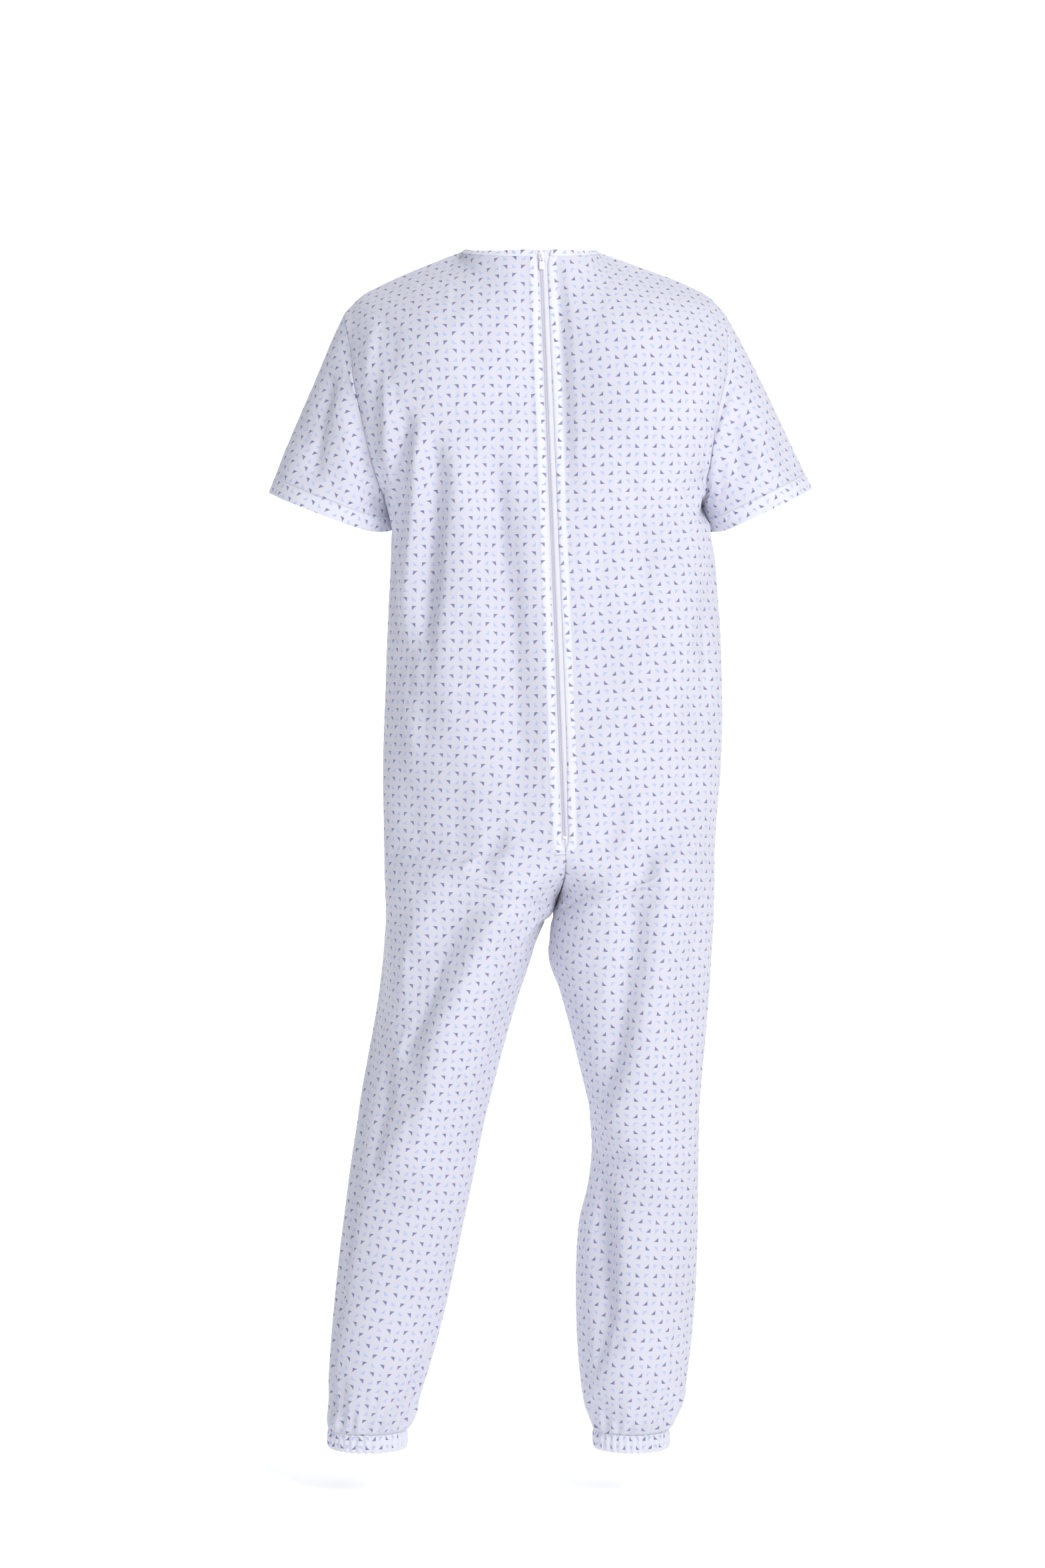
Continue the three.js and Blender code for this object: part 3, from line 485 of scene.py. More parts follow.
def shape_folds(grid, folds, normals, mask):
    """A grid raised by its folds, as far as the mask lets them rise."""
    x, z = grid[..., 0].copy(), grid[..., 2].copy()
    height = np.zeros(x.shape)
    for path, amount, left, right, ends in folds:
        height += fold_height(x, z, path, amount, left, right, ends)
    return grid + normals * (height * mask)[..., None]


# ------------------------------------------------------------------ draping


def lofted_tube(rings, sides=40):
    """Closed tube through (z, x0, x1, y0, y1) rings."""
    rings = np.array(rings, float)
    turn = 2 * math.pi * np.arange(sides) / sides
    points = []
    for z, x0, x1, y0, y1 in rings:
        cx, cy, rx, ry = (x0 + x1) / 2, (y0 + y1) / 2, (x1 - x0) / 2, (y1 - y0) / 2
        power = 0.88
        points.append(np.stack([cx + rx * signed_power(np.cos(turn), power),
                                cy + ry * signed_power(np.sin(turn), power), np.full(sides, z)], axis=-1))
    points = np.concatenate(points)
    faces = []
    for j in range(len(rings) - 1):
        for k in range(sides):
            n = (k + 1) % sides
            faces.append((j * sides + k, (j + 1) * sides + k, (j + 1) * sides + n, j * sides + n))
    faces.append(tuple(range(sides)))
    last = (len(rings) - 1) * sides
    faces.append(tuple(reversed(range(last, last + sides))))
    return points, faces


# A plain form inside the suit, which the cloth hangs on while it is draped.
FORM_TORSO = (
    (25, -62, 36, -88, 12), (-18, -76, 50, -96, 20), (-34, -125, 100, -96, 34), (-56, -176, 160, -94, 46),
    (-84, -205, 192, -96, 58), (-125, -214, 206, -104, 72), (-200, -204, 202, -112, 86),
    (-312, -168, 180, -117, 90), (-480, -148, 176, -112, 84), (-620, -176, 202, -136, 80),
    (-700, -178, 202, -138, 76), (-770, -170, 194, -112, 60),
)
FORM_LEFT_LEG = (
    (-700, -168, -6, -112, 52), (-820, -172, -16, -108, 48), (-950, -190, -58, -94, 46),
    (-1100, -212, -104, -66, 46), (-1180, -222, -122, -66, 36), (-1280, -240, -134, -86, 26),
    (-1380, -246, -158, -72, 22), (-1466, -256, -178, -62, 18), (-1500, -256, -178, -62, 18),
)
FORM_RIGHT_LEG = (
    (-700, 30, 196, -112, 52), (-820, 40, 196, -108, 48), (-950, 62, 196, -94, 46),
    (-1100, 84, 190, -66, 46), (-1180, 84, 184, -66, 36), (-1280, 68, 178, -86, 26),
    (-1380, 70, 160, -72, 22), (-1466, 75, 151, -62, 18), (-1500, 75, 151, -62, 18),
)


def form_arm(half):
    shoulder_x, hand_x = half.out * 186, half.out * 300 + (-6 if half.out < 0 else 0)
    rings = []
    for share, radius in ((0, 46), (0.35, 50), (0.7, 46), (1, 40)):
        x = lerp(shoulder_x, hand_x, share)
        z = lerp(-110, -430, share)
        rings.append((z, x - radius, x + radius, -17 - radius, -17 + radius))
    return rings


def mesh_object(name, points, faces, scale=MM):
    mesh = bpy.data.meshes.new(name)
    mesh.from_pydata([tuple(p) for p in (np.asarray(points) * scale)], [], faces)
    mesh.update()
    obj = bpy.data.objects.new(name, mesh)
    bpy.context.scene.collection.objects.link(obj)
    return obj


def grid_faces(index, closed, out):
    """Quads over an array of vertex indices, facing away from the body."""
    right = np.roll(index, -1, axis=1) if closed else index[:, 1:]
    left = index if closed else index[:, :-1]
    quads = np.stack([left[:-1], right[:-1], right[1:], left[1:]], axis=-1).reshape(-1, 4)
    return quads if out > 0 else quads[:, ::-1]


WELD_STEPS = 200  # points in the same 1/200 mm are one


def weld(grids):
    """All grids as one set of points: the points, and each grid's indices into them."""
    flat = np.concatenate([g.reshape(-1, 3) for g in grids.values()])
    keys = np.round(flat * WELD_STEPS).astype(np.int64)
    _, first, inverse = np.unique(keys, axis=0, return_index=True, return_inverse=True)
    inverse = inverse.reshape(-1)
    index, start = {}, 0
    for key, g in grids.items():
        count = g.shape[0] * g.shape[1]
        index[key] = inverse[start:start + count].reshape(g.shape[:2])
        start += count
    return flat[first], index


def cloth_parts():
    """{(half name, part): (grid, outward sign, closed)} of the cloth before it is folded.

    The sign says which side of the grid faces away from the body."""
    parts = {}
    for half in HALVES:
        parts[half.name, "back"] = (panel_grid(half, True), -half.out, False)
        parts[half.name, "front"] = (panel_grid(half, False), half.out, False)
        parts[half.name, "sleeve"] = (sleeve_grid(half), half.out, True)
    return parts


def fold_mask(part, grid):
    """Where folds may rise: not in the band by the zip, at the shoulder seam or at the cuffs."""
    z = grid[..., 2]
    rows = np.arange(grid.shape[0])[:, None]
    mask = smoothstep(rows, 0, 4) * smoothstep(z, CUFF_TOP_Z + 6, CUFF_TOP_Z + 40)
    if part == "back":
        by_zip = smoothstep(BACK_COLUMNS[None, :], BAND_SHARE, BAND_SHARE + 0.09)
        mask = mask * np.where(z > ZIP_END_Z - 14, by_zip, lerp(by_zip, 1, smoothstep(-z, 749, 790)))
    return mask


def blend_seams(moves, index, faces, count, rounds=3):
    """Movements of the welded points, averaged where parts meet and then softened a little."""
    total = np.zeros((count, 3))
    weight = np.zeros((count, 1))
    for key, move in moves.items():
        np.add.at(total, index[key].reshape(-1), move.reshape(-1, 3))
        np.add.at(weight, index[key].reshape(-1), 1.0)
    total /= np.maximum(weight, 1)
    edges = np.concatenate([faces[:, [k, (k + 1) % 4]] for k in range(4)])
    edges = np.unique(np.sort(edges, axis=1), axis=0)
    valence = np.zeros((count, 1))
    np.add.at(valence, edges.reshape(-1), 1.0)
    for _ in range(rounds):
        around = np.zeros((count, 3))
        np.add.at(around, edges[:, 0], total[edges[:, 1]])
        np.add.at(around, edges[:, 1], total[edges[:, 0]])
        total = lerp(total, around / valence, 0.3)
    return total


def sleeve_shape(grid, normals, folds, ease_rows):
    """Folds on the half of a sleeve that faces backwards, clear of the armhole's own edge."""
    rows = np.arange(len(grid))[:, None]
    facing = smoothstep(-normals[..., 1], 0.05, 0.45) * smoothstep(rows, 0, ease_rows)
    return shape_folds(grid, folds, normals, facing)


def folded_surface():
    """The welded cloth surface with its folds: points, faces, index of each part, and signs."""
    parts = cloth_parts()
    points, index = weld({key: value[0] for key, value in parts.items()})
    faces = np.concatenate([grid_faces(index[key], closed, out) for key, (_, out, closed) in parts.items()])
    moves = {}
    for key, (grid, out, _) in parts.items():
        normals = grid_normals(grid, out)
        if key[1] == "sleeve":
            moves[key] = sleeve_shape(grid, normals, SLEEVE_FOLDS[key[0]], 6) - grid
            continue
        folds = BACK_FOLDS if key[1] == "back" else FRONT_FOLDS
        shaped = shape_folds(grid, folds, normals, fold_mask(key[1], grid))
        moves[key] = shaped - grid
    points = points + blend_seams(moves, index, faces, len(points))
    return points, faces, index, parts


def hold_weights(index, parts, count, loose):
    """How firmly each point is held while the cloth settles: 1 is fixed, near 0 is loose."""
    weights = np.full(count, loose)
    for key, (grid, _, _) in parts.items():
        z = grid[..., 2]
        rows = np.arange(grid.shape[0])[:, None] + 0 * z
        if key[1] == "sleeve":
            held = np.where(rows >= SLEEVE_ROWS, 0.08, loose)
        else:
            columns = (BACK_COLUMNS if key[1] == "back" else FRONT_COLUMNS)[None, :]
            held = np.where((rows < 1) & (columns <= NECK_SHARE), 1.0, loose)
            held = np.where((rows < 1) & (columns > NECK_SHARE), 0.15, held)
            held = np.where(z < CUFF_TOP_Z + 12, 1.0, held)
            if key[1] == "back":
                held = np.where((columns <= BAND_SHARE) & (z > ZIP_END_Z - 10), 1.0, held)
        np.maximum.at(weights, index[key].reshape(-1), held.reshape(-1))
    return weights


def settle(points, faces, weights, frames=30, growth=0.02):
    """Lets the cloth hang over the form under gravity for a moment and returns its points."""
    scene = bpy.context.scene
    forms = []
    for name, rings in (("torso", FORM_TORSO), ("left_leg", FORM_LEFT_LEG), ("right_leg", FORM_RIGHT_LEG),
                        ("left_arm", form_arm(LEFT)), ("right_arm", form_arm(RIGHT))):
        form = mesh_object("form_" + name, *lofted_tube(rings))
        form.modifiers.new("Collision", "COLLISION")
        form.collision.thickness_outer = 0.002
        form.collision.cloth_friction = 8
        forms.append(form)
    cloth = mesh_object("settling_cloth", points, [tuple(int(i) for i in f) for f in faces])
    hold = cloth.vertex_groups.new(name="hold")
    for level in np.unique(weights):
        hold.add([int(i) for i in np.nonzero(weights == level)[0]], float(level), "REPLACE")
    modifier = cloth.modifiers.new("Cloth", "CLOTH")
    settings = modifier.settings
    settings.quality = 6
    settings.mass = 0.002
    settings.air_damping = 4
    settings.tension_stiffness = settings.compression_stiffness = 25
    settings.shear_stiffness = 8
    settings.bending_stiffness = 0.15
    settings.shrink_min = -growth
    settings.vertex_group_mass = "hold"
    settings.pin_stiffness = 1
    modifier.collision_settings.distance_min = 0.002
    modifier.collision_settings.collision_quality = 2
    modifier.collision_settings.use_self_collision = False
    modifier.point_cache.frame_start = 1
    modifier.point_cache.frame_end = frames
    for step in range(1, frames + 1):
        scene.frame_set(step)
    settled = cloth.evaluated_get(bpy.context.evaluated_depsgraph_get()).to_mesh()
    result = np.empty(len(points) * 3)
    settled.vertices.foreach_get("co", result)
    scene.frame_set(1)
    for obj in [cloth, *forms]:
        mesh = obj.data
        bpy.data.objects.remove(obj)
        bpy.data.meshes.remove(mesh)
    return result.reshape(-1, 3) / MM


# ------------------------------------------------------------------ fine cloth grids


def spline_weights(places, count, closed=False):
    """Matrix of Catmull-Rom weights that reads a row of `count` values at the given places."""
    places = np.asarray(places, float)
    low = np.floor(places).astype(int)
    if not closed:
        low = np.clip(low, 0, count - 2)
    u = places - low
    shares = (
        (-u**3 + 2 * u**2 - u) / 2, (3 * u**3 - 5 * u**2 + 2) / 2,
        (-3 * u**3 + 4 * u**2 + u) / 2, (u**3 - u**2) / 2,
    )
    matrix = np.zeros((len(places), count))
    row = np.arange(len(places))
    for k, share in enumerate(shares):
        at = low + k - 1
        if closed:
            np.add.at(matrix, (row, at % count), share)
            continue
        inside = (at >= 0) & (at < count)
        np.add.at(matrix, (row[inside], at[inside]), share[inside])
        for beyond, end, second in ((at < 0, 0, 1), (at >= count, count - 1, count - 2)):
            np.add.at(matrix, (row[beyond], np.full(beyond.sum(), end)), 2 * share[beyond])
            np.add.at(matrix, (row[beyond], np.full(beyond.sum(), second)), -share[beyond])
    return matrix


def fine_places(count, factor, start=True, end=True):
    """Places along `count` values, `factor` to a step, and closer together at a seam."""
    even = list(np.arange((count - 1) * factor + 1) / factor)
    close = [0.12, 0.3]
    places = set(round(v, 6) for v in even)
    if start:
        places |= set(close)
    if end:
        places |= set(round(count - 1 - c, 6) for c in close)
    return np.array(sorted(places))


def read_grid(grid, rows, columns):
    """A grid of values read at the given row and column places."""
    tall = np.tensordot(spline_weights(rows, grid.shape[0]), grid, axes=(1, 0))
    return np.einsum("ij,rjc->ric", spline_weights(columns, grid.shape[1]), tall)


def flat_pattern(name, grid, grain_column):
    """Lays a grid out flat with as little stretch as can be, in metres, with its grain upright."""
    height, width = grid.shape[:2]
    index = np.arange(height * width).reshape(height, width)
    faces = [tuple(int(i) for i in f) for f in grid_faces(index, False, 1)]
    obj = mesh_object(name, grid.reshape(-1, 3), faces)
    mesh = obj.data
    mesh.uv_layers.new(name="Cloth")
    bpy.context.view_layer.objects.active = obj
    obj.select_set(True)
    bpy.ops.object.mode_set(mode="EDIT")
    bpy.ops.mesh.select_all(action="SELECT")
    bpy.ops.uv.unwrap(method="MINIMUM_STRETCH", margin=0.001, correct_aspect=False)
    bpy.ops.object.mode_set(mode="OBJECT")
    uv = np.empty(len(mesh.loops) * 2)
    mesh.uv_layers["Cloth"].data.foreach_get("uv", uv)
    at = np.empty(len(mesh.loops), dtype=np.int32)
    mesh.loops.foreach_get("vertex_index", at)
    flat = np.zeros((height * width, 2))
    flat[at] = uv.reshape(-1, 2)
    flat = flat.reshape(height, width, 2)
    bpy.data.objects.remove(obj)
    bpy.data.meshes.remove(mesh)
    real, drawn = (sum(np.linalg.norm(np.diff(v, axis=a), axis=-1).sum() for a in (0, 1)) for v in (grid, flat))
    flat *= real / drawn * MM
    grain = flat[0, grain_column] - flat[-1, grain_column]
    grain /= np.linalg.norm(grain)
    turn = np.array([[grain[1], grain[0]], [-grain[0], grain[1]]])
    flat = flat @ turn
    return flat - flat.min(axis=(0, 1))


def polygon_area(flat):
    """Area of a flat grid, in square metres."""
    a, b = flat[:-1, :-1] - flat[1:, 1:], flat[:-1, 1:] - flat[1:, :-1]
    return float(np.abs(a[..., 0] * b[..., 1] - a[..., 1] * b[..., 0]).sum() / 2)


def seam_roll(distance, depth=0.55, width=1.5):
    """How far the cloth dips into a seam at this distance from it."""
    return -depth * np.exp(-((distance / width) ** 2))


def cuff_centre(half, z):
    middle = (half.side_x(z) + half.inseam_x(z)) / 2
    return middle, middle_y(z)


def gather_pattern(half, count=21):
    """Angles, heights and lengths of the gathers that rise from a cuff."""
    rng = np.random.default_rng(7 if half.out < 0 else 19)
    angle = (np.arange(count) + rng.uniform(-0.3, 0.3, count)) * 2 * math.pi / count
    return angle, rng.uniform(2.2, 4.6, count), rng.uniform(28, 95, count), rng.uniform(-0.16, 0.16, count)


def gathered(half, grid):
    """Adds the small folds that the cuff gathers the leg into."""
    z = grid[..., 2]
    rise = z - CUFF_TOP_Z
    x0, y0 = cuff_centre(half, z)
    turn = np.arctan2(grid[..., 1] - y0, grid[..., 0] - x0)
    push = np.zeros(z.shape)
    for angle, height, length, lean in zip(*gather_pattern(half)):
        away = (turn - angle - lean * rise / 60 + math.pi) % (2 * math.pi) - math.pi
        width = 0.085 + 0.0016 * np.clip(rise, 0, 100)
        fade = smoothstep(rise, -1, 9) * (1 - smoothstep(rise, 0.25 * length, length))
        push += 1.9 * height * fade * (np.exp(-((away / width) ** 2)) - width * 0.28)
    push *= rise < 110
    out = grid.copy()
    out[..., 0] += push * np.cos(turn)
    out[..., 1] += push * np.sin(turn)
    return out


class ClothPart:
    """Fine points of one cut part of the suit, with its place on the flat cloth."""

    def __init__(self, grid, flat, out, closed, doubled=None):
        self.grid, self.flat, self.out, self.closed = grid, flat, out, closed
        self.doubled = np.zeros(grid.shape[:2]) if doubled is None else doubled

    def size(self):
        span = self.flat.max(axis=(0, 1)) - self.flat.min(axis=(0, 1))
        return float(span[0]), float(span[1])


def run_lengths(grid, axis):
    """Distance along each row (axis 1) or column (axis 0) of a grid from its first point."""
    steps = np.linalg.norm(np.diff(grid, axis=axis), axis=-1)
    zero = np.zeros_like(np.take(steps, [0], axis=axis))
    return np.concatenate([zero, np.cumsum(steps, axis=axis)], axis=axis)


def fine_panel(half, part, coarse, out):
    """A body panel with fine points, rolled seams and gathers at its cuff."""
    is_back = part == "back"
    rows = fine_places(coarse.shape[0], 2, True, False)
    columns = fine_places(coarse.shape[1], 3)
    grid = read_grid(coarse, rows, columns)
    flat = read_grid(flat_pattern("flat", coarse, 8), rows, columns)
    grid = gathered(half, grid)
    across = run_lengths(grid, 1)
    from_side = across[:, -1:] - across
    down = run_lengths(grid, 0)
    normals = grid_normals(grid, out)
    z = grid[..., 2]
    above_cuff = smoothstep(z, CUFF_TOP_Z, CUFF_TOP_Z + 8)
    roll = seam_roll(from_side)
    middle_seam = (z < ZIP_END_Z - 4) if is_back else 1.0
    roll = roll + seam_roll(across) * middle_seam
    shoulder = (columns >= NECK_COLUMN)[None, :]
    roll = roll + seam_roll(down) * shoulder
    if is_back:  # the turned edge beside the zip is a little thicker than the single cloth
        beside = z > ZIP_END_Z
        ply = smoothstep(across, 1.5, 4) * (1 - smoothstep(across, 9.5, 11.5))
        roll = roll + beside * (0.35 * ply - 0.3 * np.exp(-(((across - 11.2) / 1.2) ** 2))
                                - 0.85 * np.exp(-((across / 1.6) ** 2)))
    grid = grid + normals * (roll * above_cuff)[..., None]
    if is_back:  # the edges part in a small notch at the neck
        notch = 3.4 * smoothstep(z, -24, -5) ** 2 * (1 - smoothstep(across, 4, 16))
        grid[..., 0] += half.out * notch
    doubled = np.zeros(z.shape)
    if is_back:
        doubled = (z > ZIP_END_Z - 2) * (1 - smoothstep(across, 10.4, 11.4))
    return ClothPart(grid, flat, out, False, doubled)


SLEEVE_FINE = 2  # fine points to each step round the sleeve, and down the panels


def fine_sleeve(half, coarse, armhole):
    """The sleeve and its hem band. Column 0 is at the underarm, where the sleeve's own seam is."""
    turned = np.roll(coarse, -UPPER_ROWS, axis=1)
    looped = np.concatenate([turned, turned[:, :1]], axis=1)
    flat = flat_pattern("flat", looped, looped.shape[1] // 2)
    count = turned.shape[1]
    columns = np.arange(count * SLEEVE_FINE + 1) / SLEEVE_FINE
    rows = fine_places(looped.shape[0], 3, True, False)
    tall = np.tensordot(spline_weights(rows, looped.shape[0]), turned, axes=(1, 0))
    grid = np.einsum("ij,rjc->ric", spline_weights(columns, count, closed=True), tall)
    flat = read_grid(flat, rows, columns)
    # The sleeve's first row is the armhole's own edge.
    shift = armhole - grid[0]
    fade = (1 - smoothstep(rows, 0, 3))[:, None, None]
    grid = grid + shift[None] * fade
    down = run_lengths(grid, 0)
    normals = grid_normals(grid, half.out, True)
    grid = grid + normals * seam_roll(down)[..., None]
    grid = sleeve_shape(grid, normals, SLEEVE_CREASES[half.name], 2)
    down = run_lengths(grid, 0)
    left = down[-1:] - down

    def cut(values, lengths):
        """Values of each column at the given distances from the hem's edge."""
        out = np.empty((lengths.shape[0], values.shape[1], values.shape[2]))
        for k in range(values.shape[1]):
            order = left[::-1, k]
            for c in range(values.shape[2]):
                out[:, k, c] = np.interp(lengths[:, k], order, values[::-1, k, c])
        return out

    total = down[-1]
    share = np.concatenate([[0, 0.006, 0.015], np.linspace(0.03, 1, 56)])[:, None]
    body = lerp(total[None], np.full_like(total, SLEEVE_HEM)[None], share)
    band = np.broadcast_to(np.linspace(SLEEVE_HEM, 0, 13)[:, None], (13, len(total)))
    sleeve = ClothPart(cut(grid, body), cut(flat, body), half.out, True)
    hem = ClothPart(cut(grid, band), cut(flat, band), half.out, True, np.ones((13, len(total))))
    return sleeve, hem


def armhole_edge(back, front):
    """The armhole seen from the sleeve: from the underarm up the front and down the back."""
    places = np.arange(UPPER_ROWS * SLEEVE_FINE + 1) / SLEEVE_FINE
    fine = fine_places(UPPER_ROWS + LOWER_ROWS, SLEEVE_FINE, True, False)
    rows = {round(float(p), 5): k for k, p in enumerate(fine)}
    at = [rows[round(float(p), 5)] for p in places]
    up_front = front[at][::-1]
    down_back = back[at]
    return np.concatenate([up_front, down_back[1:]])


SEEN_FROM = 4530.0  # distance of the camera behind the suit
VIEW_CENTRE = np.array([-20.0, 0.0, -655.0])


def spread(points):
    """Shoulders and sleeves are let out, as they are further from the camera than the back is."""
    share = np.clip((points[:, 1:2] + 105) / SEEN_FROM, 0, 0.024) * smoothstep(points[:, 2:], -780, -560)
    moved = points + (points - VIEW_CENTRE) * share
    moved[:, 1] = points[:, 1]
    return moved


def cut_cloth():
    """Every cut part of the suit: {(half name, part): ClothPart}."""
    points, faces, index, parts = folded_surface()
    settled = settle(points, faces, hold_weights(index, parts, len(points), 0.03), growth=0.006)
    # The back hangs flat from the shoulders, so it takes less of the sag than the rest.
    on_back = smoothstep(-points[:, 1:2], 20, 70) * smoothstep(points[:, 2:], -760, -640)
    share = 0.9 - 0.5 * on_back
    for half in HALVES:
        back = index[half.name, "back"]
        beside_zip = smoothstep(BACK_COLUMNS, BAND_SHARE, 0.36)[None, :, None]
        share[back] *= 1 - (1 - beside_zip) * smoothstep(points[back][..., 2:], -700, -600)
        for part in ("back", "front"):  # the shoulders are filled by the wearer
            panel = index[half.name, part]
            share[panel] *= smoothstep(np.arange(len(panel)), -1, 10)[:, None, None]
        sleeve = index[half.name, "sleeve"]
        rows, columns = np.indices(sleeve.shape)
        from_top = np.minimum(columns, sleeve.shape[1] - columns)
        filled = (1 - smoothstep(from_top, 3, 15)) * (1 - 0.6 * smoothstep(rows, 2, SLEEVE_ROWS))
        share[sleeve] = np.minimum(share[sleeve], 0.9 * (1 - filled)[..., None])
    points = lerp(points, settled, share)
    points = spread(points)
    cloth = {}
    for half in HALVES:
        edges = {}
        for part in ("back", "front"):
            key = (half.name, part)
            coarse = points[index[key]]
            fine = fine_panel(half, part, coarse, parts[key][1])
            cloth[key] = fine
            edges[part] = fine.grid[:, -1]
        # Print on the left back panel runs the other way up.
        if half.out < 0:
            flat = cloth[half.name, "back"].flat
            cloth[half.name, "back"].flat = flat.max(axis=(0, 1)) - flat
        sleeve = points[index[half.name, "sleeve"]]
        edge = armhole_edge(edges["back"], edges["front"])
        cloth[half.name, "sleeve"], cloth[half.name, "hem"] = fine_sleeve(half, sleeve, edge)
        if half.out < 0:
            for part in ("sleeve", "hem"):
                cloth[half.name, part].flat = -cloth[half.name, part].flat
    return cloth


# ------------------------------------------------------------------ making meshes


def grid_mesh(name, part, material, thickness):
    """A cloth piece: the part's grid as a mesh with its flat places as UVs, given a thickness."""
    height, width = part.grid.shape[:2]
    unique = width - 1 if part.closed else width
    index = np.arange(height)[:, None] * unique + np.arange(width)[None, :] % unique
    points = part.grid[:, :unique].reshape(-1, 3)
    doubled = part.doubled[:, :unique].reshape(-1)
    quads = np.stack([index[:-1, :-1], index[:-1, 1:], index[1:, 1:], index[1:, :-1]], axis=-1).reshape(-1, 4)
    flat = part.flat
    corners = np.stack([flat[:-1, :-1], flat[:-1, 1:], flat[1:, 1:], flat[1:, :-1]], axis=2).reshape(-1, 4, 2)
    if part.out < 0:
        quads, corners = quads[:, ::-1], corners[:, ::-1]
    mesh = bpy.data.meshes.new(name)
    mesh.vertices.add(len(points))
    mesh.vertices.foreach_set("co", (points * MM).ravel())
    mesh.loops.add(quads.size)
    mesh.loops.foreach_set("vertex_index", quads.ravel().astype(np.int32))
    mesh.polygons.add(len(quads))
    mesh.polygons.foreach_set("loop_start", np.arange(0, quads.size, 4, dtype=np.int32))
    mesh.update(calc_edges=True)
    layer = mesh.uv_layers.new(name="Cloth")
    layer.data.foreach_set("uv", corners.reshape(-1, 2).ravel().astype(np.float32))
    attribute = mesh.attributes.new("doubled", "FLOAT", "POINT")
    attribute.data.foreach_set("value", doubled.astype(np.float32))
    mesh.validate()
    mesh.shade_smooth()
    mesh.materials.append(material)
    obj = bpy.data.objects.new(name, mesh)
    bpy.context.scene.collection.objects.link(obj)
    solidify = obj.modifiers.new("Thickness", "SOLIDIFY")
    solidify.thickness = thickness * MM
    solidify.offset = -1
    solidify.use_even_offset = False
    return obj


def plain_mesh(name, points, faces, material):
    """A mesh piece from points in millimetres, with its normals facing out."""
    obj = mesh_object(name, points, faces)
    shell = bmesh.new()
    shell.from_mesh(obj.data)
    bmesh.ops.remove_doubles(shell, verts=shell.verts, dist=1e-6)
    bmesh.ops.recalc_face_normals(shell, faces=shell.faces)
    shell.to_mesh(obj.data)
    shell.free()
    obj.data.shade_smooth()
    obj.data.materials.append(material)
    return obj


def finish_piece(obj, body, slot, *nodes):
    """The piece rides on its body and stands for its CAD nodes; slot is not used."""
    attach(obj, body)
    if nodes:
        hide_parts(*nodes)
    return obj


def unit(vectors):
    vectors = np.asarray(vectors, float)
    return vectors / np.maximum(np.linalg.norm(vectors, axis=-1, keepdims=True), 1e-9)


# ------------------------------------------------------------------ zip frame

TAPE_INSET = 1.9
ZIP_TOP = np.array([0.0, NECK_BACK_Y + TAPE_INSET, 0.0])
ZIP_FOOT = np.array([29.0, NECK_BACK_Y - 45 + TAPE_INSET, ZIP_END_Z])
ZIP_UP = unit(ZIP_TOP - ZIP_FOOT)
ZIP_IN = unit(np.cross(ZIP_UP, [1, 0, 0]))
ZIP_ACROSS = np.cross(ZIP_IN, ZIP_UP)


def zip_place(points):
    """Points given across the zip, into the suit and up the zip, moved to the suit's own frame."""
    points = np.asarray(points, float)
    return ZIP_TOP + points[..., :1] * ZIP_ACROSS + points[..., 1:2] * ZIP_IN + points[..., 2:3] * ZIP_UP


# ------------------------------------------------------------------ shader groups


